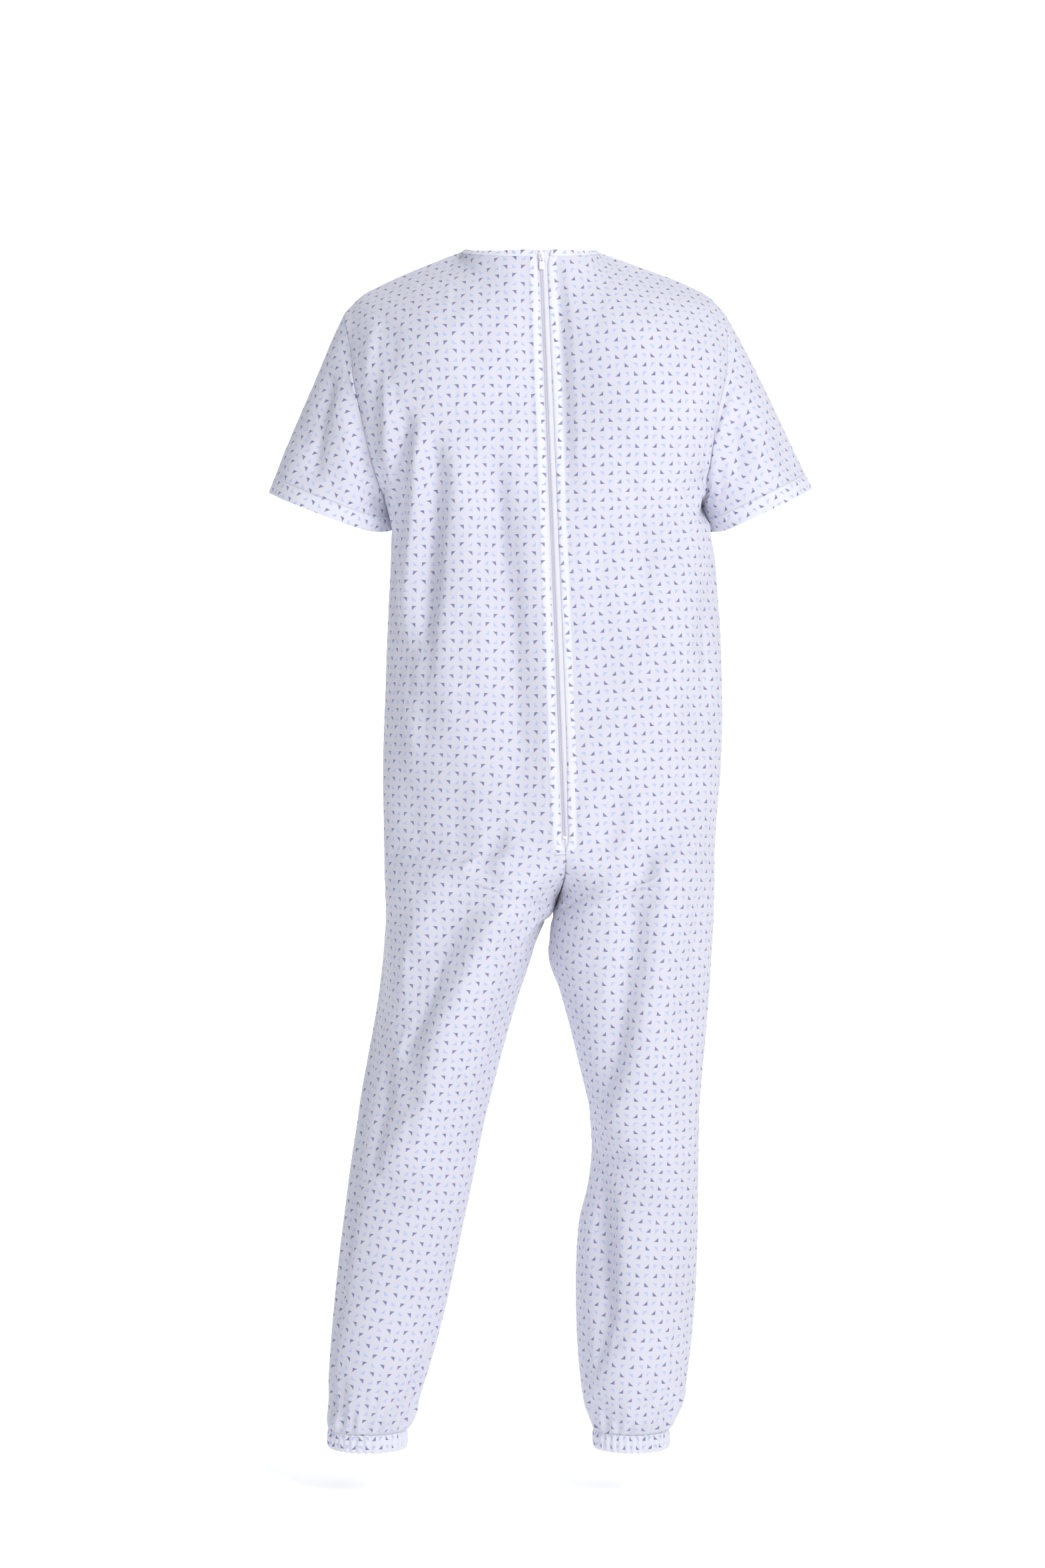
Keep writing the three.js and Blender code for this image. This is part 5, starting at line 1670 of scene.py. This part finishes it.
def cuff_part(half, columns=240, ruffles=34):
    """The casing of one cuff: outer wall, fold and inner wall, drawn up by its elastic."""
    turn, path, outward, upward, radius = cuff_ring(half, columns)
    rng = np.random.default_rng(11 if half.out < 0 else 23)
    phase = rng.uniform(0, 2 * math.pi, 3)
    wave = np.sin(ruffles * turn + 1.2 * np.sin(3 * turn + phase[0]) + phase[1])
    wave = wave * (0.75 + 0.25 * np.sin(5 * turn + phase[2]))
    # The columns run anticlockwise from above, so the flat pattern is read the other way.
    around = -turn * radius * CUFF_FULLNESS
    part = swept_part(path, outward, upward, CUFF_SECTION, 1, closed=True, doubled=0.7, lengths=around)
    part.grid += outward[None] * (np.array(CUFF_WAVE)[:, None] * wave[None] * 1.45)[..., None]
    near_hem = np.array(CUFF_SECTION)[:, 1] < 3
    part.grid[..., 2] += 0.5 * np.cos(ruffles * turn)[None] * near_hem[:, None]
    return part


def elastic_part(half, columns=120):
    """The elastic inside one cuff."""
    _, path, outward, upward, _ = cuff_ring(half, columns)
    section = [(0.45, up) for up in np.linspace(17.5, 2.5, 8)]
    return swept_part(path, outward, upward, section, 1, closed=True)


# ------------------------------------------------------------------ zip


CHAIN_TOP, CHAIN_FOOT = -4.1, -722.3  # up the zip, from its top end


def zip_strip(half, inner, outer, near, bottom, top, rows, columns, wave=0.0, flare=0.0, seed=1):
    """A flat strip on one side of the zip, in rows from the top down."""
    up = np.linspace(top, bottom, rows)
    x = np.linspace(inner, outer, columns)
    rng = np.random.default_rng(seed)
    sway = np.interp(up, np.linspace(bottom, top, 60), rng.uniform(-1, 1, 60)) * wave
    place = np.zeros((rows, columns, 3))
    open_out = flare * smoothstep(up, top - 9, top) ** 2
    place[..., 0] = half.out * (x[None, :] + sway[:, None] * (x[None, :] > inner + 1) + open_out[:, None])
    place[..., 1] = near + 0.12 * np.abs(sway)[:, None] * np.linspace(0, 1, columns)[None]
    place[..., 2] = up[:, None]
    flat = np.stack(np.broadcast_arrays(x[None, :], up[:, None]), axis=-1) * MM
    return ClothPart(zip_place(place), flat, -half.out, False, np.ones((rows, columns)))


def coil_turn(side, material_):
    """One turn of the coil on one side: a bent nylon loop whose head reaches the middle."""
    path = np.array([(1.95, -0.8), (2.1, -1.15), (1.9, -1.5), (1.2, -1.62), (0.5, -1.56), (0.2, -1.25),
                     (0.35, -0.9), (1.0, -0.8)])
    radius, sides = 0.38, 6
    points, faces = [], []
    for k, (x, y) in enumerate(path):
        before, after = path[max(k - 1, 0)], path[min(k + 1, len(path) - 1)]
        tangent = unit(after - before)
        normal = np.array([-tangent[1], tangent[0]])
        slant = 0.28 * (k / (len(path) - 1) - 0.5)
        for s in range(sides):
            a = 2 * math.pi * s / sides
            points.append((side * (x + normal[0] * radius * math.cos(a)), y + normal[1] * radius * math.cos(a),
                           slant + radius * 0.95 * math.sin(a)))
    for k in range(len(path) - 1):
        for s in range(sides):
            n = (s + 1) % sides
            faces.append((k * sides + s, k * sides + n, (k + 1) * sides + n, (k + 1) * sides + s))
    faces.append(tuple(range(sides)))
    last = (len(path) - 1) * sides
    faces.append(tuple(reversed(range(last, last + sides))))
    turned = zip_place(points) - ZIP_TOP
    return plain_mesh("coil_turn", turned, faces, material_)


def outline_plate(name, outlines, thickness, bevel, place):
    """A plate with rounded edges, cut to flat outlines (the later ones are holes)."""
    curve = bpy.data.curves.new(name + "_outline", "CURVE")
    curve.dimensions = "2D"
    curve.fill_mode = "BOTH"
    curve.extrude = thickness / 2 - bevel
    curve.bevel_depth = bevel
    curve.bevel_resolution = 2
    curve.offset = -bevel
    for outline in outlines:
        spline = curve.splines.new("POLY")
        spline.points.add(len(outline) - 1)
        for point, (x, y) in zip(spline.points, outline):
            point.co = (x, y, 0, 1)
        spline.use_cyclic_u = True
    holder = bpy.data.objects.new(name + "_outline", curve)
    bpy.context.scene.collection.objects.link(holder)
    graph = bpy.context.evaluated_depsgraph_get()
    graph.update()
    mesh = bpy.data.meshes.new_from_object(holder.evaluated_get(graph))
    points = np.array([tuple(v.co) for v in mesh.vertices])
    faces = [tuple(p.vertices) for p in mesh.polygons]
    bpy.data.objects.remove(holder)
    bpy.data.curves.remove(curve)
    bpy.data.meshes.remove(mesh)
    return place(points), faces


def rounded_corners(corners, steps=4):
    """An outline whose corners, (x, y, radius), are rounded."""
    outline = []
    count = len(corners)
    for k, (x, y, radius) in enumerate(corners):
        here = np.array([x, y], float)
        before = np.array(corners[k - 1][:2], float)
        after = np.array(corners[(k + 1) % count][:2], float)
        if radius <= 0:
            outline.append(tuple(here))
            continue
        to_before, to_after = unit(before - here), unit(after - here)
        start, end = here + to_before * radius, here + to_after * radius
        for s in np.linspace(0, 1, steps + 1):
            outline.append(tuple((1 - s) ** 2 * start + 2 * s * (1 - s) * here + s**2 * end))
    return outline


def gather_mesh(name, shells, look):
    """Several closed shells joined as one piece."""
    points, faces = [], []
    for shell_points, shell_faces in shells:
        start = len(points)
        points += [tuple(p) for p in shell_points]
        faces += [tuple(start + i for i in f) for f in shell_faces]
    return plain_mesh(name, points, faces, look)


SLIDER_Z = -9.0


def placer(to_zip, up):
    """Moves an outline's x, y and thickness to (across, into, up) the zip, and then up it."""
    def place(points):
        x, y, z = to_zip(*points.T)
        return zip_place(np.stack([x, y, z + up], axis=-1))
    return place


def plate_at(near, thickness):
    """Lays a flat outline across the zip, with its thickness centred on a depth."""
    return placer(lambda x, y, z: (x, near + thickness / 2 - z, y), SLIDER_Z)


def slider_shells():
    body = rounded_corners([(-3.6, 4.7, 1.2), (3.6, 4.7, 1.2), (3.45, -1, 2), (2.9, -4.7, 1.0),
                            (-2.9, -4.7, 1.0), (-3.45, -1, 2)])
    raised = rounded_corners([(-2.3, 3.7, 0.9), (2.3, 3.7, 0.9), (1.9, -3.7, 0.8), (-1.9, -3.7, 0.8)])
    back = rounded_corners([(-3.2, 4.6, 1.0), (3.2, 4.6, 1.0), (2.8, -4.6, 0.9), (-2.8, -4.6, 0.9)])
    shells = [
        outline_plate("front", [body], 0.8, 0.28, plate_at(-3.15, 0.8)),
        outline_plate("raised", [raised], 0.5, 0.2, plate_at(-3.45, 0.5)),
        outline_plate("back", [back], 0.75, 0.25, plate_at(0.65, 0.75)),
    ]
    for side in (-1, 1):  # turned-down edges over the chain
        edge = rounded_corners([(-4.4, -3.0, 0.3), (3.4, -3.0, 0.3), (2.6, -0.65, 0.5), (-3.6, -0.65, 0.5)])
        place = placer(lambda x, y, z: (side * (3.3 + z), y, -x), SLIDER_Z)
        shells.append(outline_plate("edge", [edge], 0.6, 0.18, place))
    # thin divider in the slit, near the top of the slider
    divider = rounded_corners([(1.2, -2.6, 0), (4.3, -2.6, 0), (4.3, 0.9, 0), (1.2, 0.9, 0)])
    thin = placer(lambda x, y, z: (z, y, x), SLIDER_Z)
    shells.append(outline_plate("divider", [divider], 0.16, 0.03, thin))
    # crown: an arch along the zip that holds the pull's bar
    outer = [(-3.0, -3.0), (-3.0, -4.6), (-2.4, -5.5), (-1.4, -5.7)]
    inner = [(2.1, -3.0), (2.1, -4.2), (1.7, -4.75), (1.1, -4.85)]
    outer, inner = (half + [(-x, y) for x, y in reversed(half)] for half in (outer, inner))
    shells.append(outline_plate("crown", [outer + inner], 1.5, 0.22, thin))
    return shells


PULL_PIVOT_Z = SLIDER_Z - 1.4


def pull_shells():
    tab = rounded_corners([(-2.3, 0.45, 0.7), (2.3, 0.45, 0.7), (2.3, -5.6, 0.8), (3.25, -7.8, 1.4),
                           (3.25, -15.4, 1.7), (-3.25, -15.4, 1.7), (-3.25, -7.8, 1.4), (-2.3, -5.6, 0.8)])
    window = rounded_corners([(-1.3, -0.45, 0.3), (-1.3, -5.0, 0.6), (1.3, -5.0, 0.6), (1.3, -0.45, 0.3)])
    rim = rounded_corners([(-2.5, -8.3, 1.0), (2.5, -8.3, 1.0), (2.5, -14.6, 1.2), (-2.5, -14.6, 1.2)])

    def at(depth):
        return placer(lambda x, y, z: (x, -4.0 + depth - z, y), PULL_PIVOT_Z)

    shells = [outline_plate("tab", [tab, window], 0.9, 0.26, at(0.0)),
              outline_plate("rim", [rim], 0.5, 0.2, at(-0.3))]
    for k in range(3):
        up = -10.1 - k * 1.4
        top, bottom = up + 0.28, up - 0.28
        rib = rounded_corners([(-1.7, top, 0.2), (1.7, top, 0.2), (1.7, bottom, 0.2), (-1.7, bottom, 0.2)], 2)
        shells.append(outline_plate("rib", [rib], 0.3, 0.1, at(-0.58)))
    return shells


def block_shell(x0, x1, y0, y1, z0, z1, bevel=0.3):
    """A small pressed metal block with rounded edges."""
    face = rounded_corners([(x0, z0, bevel), (x1, z0, bevel), (x1, z1, bevel), (x0, z1, bevel)], 3)
    place = placer(lambda x, y, z: (x, (y0 + y1) / 2 - z, y), 0)
    return outline_plate("block", [face], abs(y1 - y0), min(0.25, abs(y1 - y0) / 3), place)


# ------------------------------------------------------------------ settings


def swatch(name, description, default):
    return FloatVectorProperty(name=name, description=description, subtype="COLOR", size=3, default=default,
                               min=0, max=1)


class PatientSuitColours(bpy.types.PropertyGroup):
    """Colours of the suit's cloth, zip and stage."""

    cotton: swatch("Cotton", "Single layer of the printed cotton", (0.735, 0.735, 0.83))
    doubled: swatch("Doubled cotton", "Hems, where the cotton is doubled", (0.86, 0.87, 0.95))
    dark_ink: swatch("Dark ink", "The print's slate triangles", (0.15, 0.155, 0.38))
    light_ink: swatch("Light ink", "The print's pale blue triangles", (0.49, 0.59, 0.89))
    tape: swatch("Zip tape", "Woven tape of the zip", (0.87, 0.87, 0.97))
    # Painted shade: the lavender line drawn on the tape where the coil's edge meets it.
    tape_line: swatch("Coil edge shade", "Painted shade along the edge of the zip's coil", (0.68, 0.67, 0.90))
    coil: swatch("Zip coil", "Nylon coil of the zip", (0.93, 0.93, 1.0))
    thread: swatch("Thread", "Sewing thread", (0.84, 0.85, 0.94))
    enamel: swatch("Enamel", "Slider, pull and stops", (0.86, 0.87, 0.95))
    floor: swatch("Floor", "Floor and backdrop", (0.92, 0.92, 0.92))


class PatientSuitSizes(bpy.types.PropertyGroup):
    """Sizes of the suit's sewing and zip."""

    cloth: FloatProperty(name="Cotton thickness", description="Thickness of one layer of cotton", unit="LENGTH",
                         default=0.0006, min=0.0003, max=0.0015)
    stitch_pitch: FloatProperty(name="Stitch pitch", description="Distance from one stitch to the next",
                                unit="LENGTH", default=0.003, min=0.0015, max=0.006)
    thread_width: FloatProperty(name="Thread width", description="Width of a stitch", unit="LENGTH",
                                default=0.00045, min=0.0002, max=0.001)
    coil_pitch: FloatProperty(name="Coil pitch", unit="LENGTH", default=0.00128, min=0.0008, max=0.003,
                              description="Distance from one turn of the zip's coil to the next")
    print_strength: FloatProperty(name="Print strength", description="How strongly the print is inked",
                                  subtype="FACTOR", default=0.92, min=0, max=1)
    ruffles: IntProperty(name="Cuff ruffles", description="Small folds round each elastic cuff", default=34,
                         min=10, max=60)
    colours: PointerProperty(type=PatientSuitColours, name="Colours", description="Colours of the suit")


def settings():
    return bpy.context.scene.patient_suit


# ------------------------------------------------------------------ operators


class PATIENT_OT_finishes(bpy.types.Operator):
    """Build the shader groups, node trees and materials."""

    bl_idname = "patient_suit.finishes"
    bl_label = "Finishes"

    def execute(self, context):
        build_shader_groups()
        build_stitch_row()
        build_coil_row()
        c = settings().colours
        inks = (c.cotton, c.doubled, c.dark_ink, c.light_ink)
        cloth_material("Printed cotton", inks, settings().print_strength, 0.86)
        tape_material("Woven tape", c.tape, c.tape_line)
        thread_material("Sewing thread", c.thread)
        nylon_material("Nylon coil", c.coil)
        enamel_material("White enamel", c.enamel, (0.6, 0.6, 0.62))
        elastic_material("Braided elastic", (0.86, 0.86, 0.84))
        stage_material("Studio floor", c.floor)
        return {"FINISHED"}


class PATIENT_OT_panels(bpy.types.Operator):
    """Cut, hang and fold the four body panels."""

    bl_idname = "patient_suit.panels"
    bl_label = "Body panels"

    def execute(self, context):
        for half in HALVES:
            for part in ("back", "front"):
                cloth_piece(f"{half.name}_{part}_cloth", f"{half.name}_{part}_panel", cloth()[half.name, part],
                            "Printed cotton", settings().cloth / MM, "printed_cotton")
        return {"FINISHED"}


class PATIENT_OT_sleeves(bpy.types.Operator):
    """Make both sleeves and their turned hems."""

    bl_idname = "patient_suit.sleeves"
    bl_label = "Sleeves and hems"

    def execute(self, context):
        for half in HALVES:
            cloth_piece(f"{half.name}_sleeve_cloth", f"{half.name}_sleeve", cloth()[half.name, "sleeve"],
                        "Printed cotton", settings().cloth / MM, "printed_cotton")
            hem = turned_hem(cloth()[half.name, "hem"])
            around = float(np.linalg.norm(np.diff(hem.grid[0], axis=0), axis=1).sum()) * MM
            cloth_piece(f"{half.name}_turned_hem", f"{half.name}_sleeve_hem", hem, "Printed cotton",
                        settings().cloth / MM, "doubled_cotton", size=(around, 2 * SLEEVE_HEM * MM))
        return {"FINISHED"}


class PATIENT_OT_neckband(bpy.types.Operator):
    """Make the folded band round the neckline."""

    bl_idname = "patient_suit.neckband"
    bl_label = "Neckband"

    def execute(self, context):
        part = neckband_part()[0]
        cloth_piece("folded_neckband", "neckband", part, "Printed cotton", 0.5, "doubled_cotton",
                    size=part.size(), area=polygon_area(part.flat))
        return {"FINISHED"}


class PATIENT_OT_cuffs(bpy.types.Operator):
    """Make the gathered leg cuffs and the elastics inside them."""

    bl_idname = "patient_suit.cuffs"
    bl_label = "Leg cuffs"

    def execute(self, context):
        for half in HALVES:
            part = cuff_part(half, ruffles=settings().ruffles)
            cloth_piece(f"{half.name}_gathered_cuff", f"{half.name}_leg_cuff", part, "Printed cotton", 0.5,
                        "doubled_cotton")
            part = elastic_part(half)
            cloth_piece(f"{half.name}_braided_elastic", f"{half.name}_cuff_elastic", part, "Braided elastic",
                        0.9, "elastic")
        return {"FINISHED"}


class PATIENT_OT_zip_cloth(bpy.types.Operator):
    """Make the zip's woven tapes and the facings that cover their edges inside."""

    bl_idname = "patient_suit.zip_cloth"
    bl_label = "Zip tapes and facings"

    def execute(self, context):
        for half in HALVES:
            tape = zip_strip(half, 0.1, 12.5, -0.3, -746, -0.5, 300, 9, flare=2.6, seed=5)
            cloth_piece(f"{half.name}_woven_tape", f"{half.name}_zip_tape", tape, "Woven tape", 0.6,
                        "zip_tape")
            facing = zip_strip(half, 5, 20, 0.75, -733, -8, 240, 7, wave=0.35, seed=9 if half.out < 0 else 13)
            cloth_piece(f"{half.name}_folded_facing", f"{half.name}_zip_facing", facing, "Printed cotton",
                        0.8, "doubled_cotton")
        return {"FINISHED"}


class PATIENT_OT_zip_chain(bpy.types.Operator):
    """Make the coils of the zip's chain, and its metal stops."""

    bl_idname = "patient_suit.zip_chain"
    bl_label = "Zip coils and stops"

    def execute(self, context):
        pitch = settings().coil_pitch
        for half in HALVES:
            helper = coil_turn(half.out, material("Nylon coil"))
            start = CHAIN_TOP - (0 if half.out < 0 else pitch / MM / 2)
            count = int((start - CHAIN_FOOT) / (pitch / MM))
            line = zip_place([(0, 0, start), (0, 0, start - count * pitch / MM)])
            obj = baked_from_tree(f"{half.name}_nylon_coil", line, [(0, 1)], None, "Coil row",
                                  {"Pitch": pitch, "Turn": helper, "Seed": 5}, material("Nylon coil"))
            mesh = helper.data
            bpy.data.objects.remove(helper)
            bpy.data.meshes.remove(mesh)
            finish_piece(obj, BODY, "zip_coil", f"{half.name}_zip_coil")
            stop = block_shell(half.out * 0.75, half.out * 2.6, -2.3, -0.65, -3.4, -1.0, 0.45)
            obj = gather_mesh(f"{half.name}_pressed_stop", [stop], material("White enamel"))
            finish_piece(obj, BODY, "zip_enamel", f"{half.name}_top_stop")
        stop = block_shell(-2.5, 2.5, -2.4, -0.65, -727, -723.2, 0.6)
        obj = gather_mesh("pressed_bottom_stop", [stop], material("White enamel"))
        finish_piece(obj, BODY, "zip_enamel", "bottom_stop")
        return {"FINISHED"}


class PATIENT_OT_zip_slider(bpy.types.Operator):
    """Make the zip's slider and its swinging pull."""

    bl_idname = "patient_suit.zip_slider"
    bl_label = "Zip slider and pull"

    def execute(self, context):
        slider = gather_mesh("enamelled_slider", slider_shells(), material("White enamel"))
        finish_piece(slider, "slider", "zip_enamel", "zip_slider")
        pull = gather_mesh("enamelled_pull", pull_shells(), material("White enamel"))
        finish_piece(pull, "pull", "zip_enamel", "zip_pull")
        return {"FINISHED"}


class PATIENT_OT_sewing(bpy.types.Operator):
    """Sew the visible stitch lines of the neck, zip, sleeves and cuffs."""

    bl_idname = "patient_suit.sewing"
    bl_label = "Stitching"

    def execute(self, context):
        sizes, thread = settings(), material("Sewing thread")
        pitch, width = sizes.stitch_pitch / MM, sizes.thread_width / MM

        def sew(name, lines, slot, seed, length=None):
            obj = stitches(name, lines, thread, length or pitch * 0.78, pitch, width, seed)
            finish_piece(obj, BODY, slot)

        for half in HALVES:
            back = cloth()[half.name, "back"]
            keep = back.grid[:, 0, 2] > ZIP_END_Z + 3
            keep &= np.arange(len(keep)) > 1
            lines = []
            for distance in (1.6, 11.2):
                line, outward = row_line(back, distance, keep, lift=0.12)
                lines.append((line, outward, False))
            sew(f"{half.name}_zip_stitches", lines, "printed_cotton", 3)
            hem = turned_hem(cloth()[half.name, "hem"])
            line, outward = ring_line(hem, 1, 0.1)
            sew(f"{half.name}_hem_stitches", [(line, outward, True)], "doubled_cotton", 5)
            cuff = cuff_part(half, ruffles=sizes.ruffles)
            line, outward = ring_line(cuff, 1, 0.1)
            sew(f"{half.name}_cuff_stitches", [(line, outward, True)], "doubled_cotton", 7)
        _, path, outward, upward, from_end = neckband_part()
        keep = from_end > 6
        line = (path + outward * 0.85 + upward * 1.5)[keep]
        sew("neckband_stitches", [(line, unit(outward[keep]), False)], "doubled_cotton", 9)
        return {"FINISHED"}


class PATIENT_OT_stage(bpy.types.Operator):
    """Set up the pale floor, the soft lights and the camera."""

    bl_idname = "patient_suit.stage"
    bl_label = "Stage"

    def execute(self, context):
        scene = context.scene
        floor_z = -1.545
        profile = [(-9.0, floor_z), (5.6, floor_z)]
        profile += [(5.6 + 1.4 * math.sin(a), floor_z + 1.4 * (1 - math.cos(a)))
                    for a in np.linspace(0.1, math.pi / 2, 14)]
        profile += [(7.0, 5.0)]
        points = [(x, y, z) for y, z in profile for x in (-9, 9)]
        faces = [(2 * k, 2 * k + 1, 2 * k + 3, 2 * k + 2) for k in range(len(profile) - 1)]
        floor = mesh_object("studio_floor", points, faces, 1.0)
        floor.data.shade_smooth()
        floor.data.materials.append(material("Studio floor"))
        world = bpy.data.worlds.new("Studio")
        world.use_nodes = True
        world.node_tree.nodes["Background"].inputs["Color"].default_value = (0.93, 0.95, 1.0, 1)
        world.node_tree.nodes["Background"].inputs["Strength"].default_value = 0.36
        scene.world = world
        aim = Vector((0, 0, -0.7))
        for name, place, size, power, colour in (
                ("Key light", (2.1, -3.3, 1.15), 1.2, 98, (1, 0.985, 0.97)),
                ("Fill light", (-2.2, -3.8, 0.0), 2.4, 26, (0.93, 0.95, 1)),
                ("Top light", (0.3, 0.2, 2.6), 1.8, 22, (1, 1, 1)),
                ("Front light", (0.6, 4.4, 0.6), 2.0, 34, (1, 1, 1))):
            light = bpy.data.lights.new(name, "AREA")
            light.size = size
            light.energy = power
            light.color = colour
            lamp = bpy.data.objects.new(name, light)
            scene.collection.objects.link(lamp)
            lamp.location = place
            lamp.rotation_euler = (aim - Vector(place)).to_track_quat("-Z", "Y").to_euler()
        camera = bpy.data.cameras.new("Camera")
        camera.sensor_fit = "VERTICAL"
        camera.sensor_height = 36
        camera.lens = 82.6
        camera.clip_start = 0.05
        camera.clip_end = 60
        holder = bpy.data.objects.new("Camera", camera)
        scene.collection.objects.link(holder)
        holder.location = (-0.023, -4.53, -0.658)
        holder.rotation_euler = (math.pi / 2, 0, 0)
        scene.camera = holder
        scene.view_settings.view_transform = "Standard"
        return {"FINISHED"}


class PATIENT_PT_panel(bpy.types.Panel):
    """Lists the suit's settings and steps."""

    bl_label = "Patient suit"
    bl_idname = "PATIENT_PT_panel"
    bl_space_type = "VIEW_3D"
    bl_region_type = "UI"
    bl_category = "Patient suit"

    def draw(self, context):
        sizes = context.scene.patient_suit
        for name in ("cloth", "stitch_pitch", "thread_width", "coil_pitch", "print_strength", "ruffles"):
            self.layout.prop(sizes, name)
        for name in PatientSuitColours.__annotations__:
            self.layout.prop(sizes.colours, name)
        for step in STEPS:
            self.layout.operator(step.bl_idname)


STEPS = (
    PATIENT_OT_finishes, PATIENT_OT_stage, PATIENT_OT_panels, PATIENT_OT_sleeves, PATIENT_OT_neckband,
    PATIENT_OT_cuffs, PATIENT_OT_zip_cloth, PATIENT_OT_zip_chain, PATIENT_OT_zip_slider, PATIENT_OT_sewing,
)
CLASSES = (PatientSuitColours, PatientSuitSizes, *STEPS, PATIENT_PT_panel)


def register():
    for cls in CLASSES:
        bpy.utils.register_class(cls)
    bpy.types.Scene.patient_suit = PointerProperty(type=PatientSuitSizes)


def unregister():
    del bpy.types.Scene.patient_suit
    for cls in reversed(CLASSES):
        bpy.utils.unregister_class(cls)


def main():
    register()
    for step in STEPS:
        group, name = step.bl_idname.split(".")
        getattr(getattr(bpy.ops, group), name)()


if __name__ == "__main__":
    main()
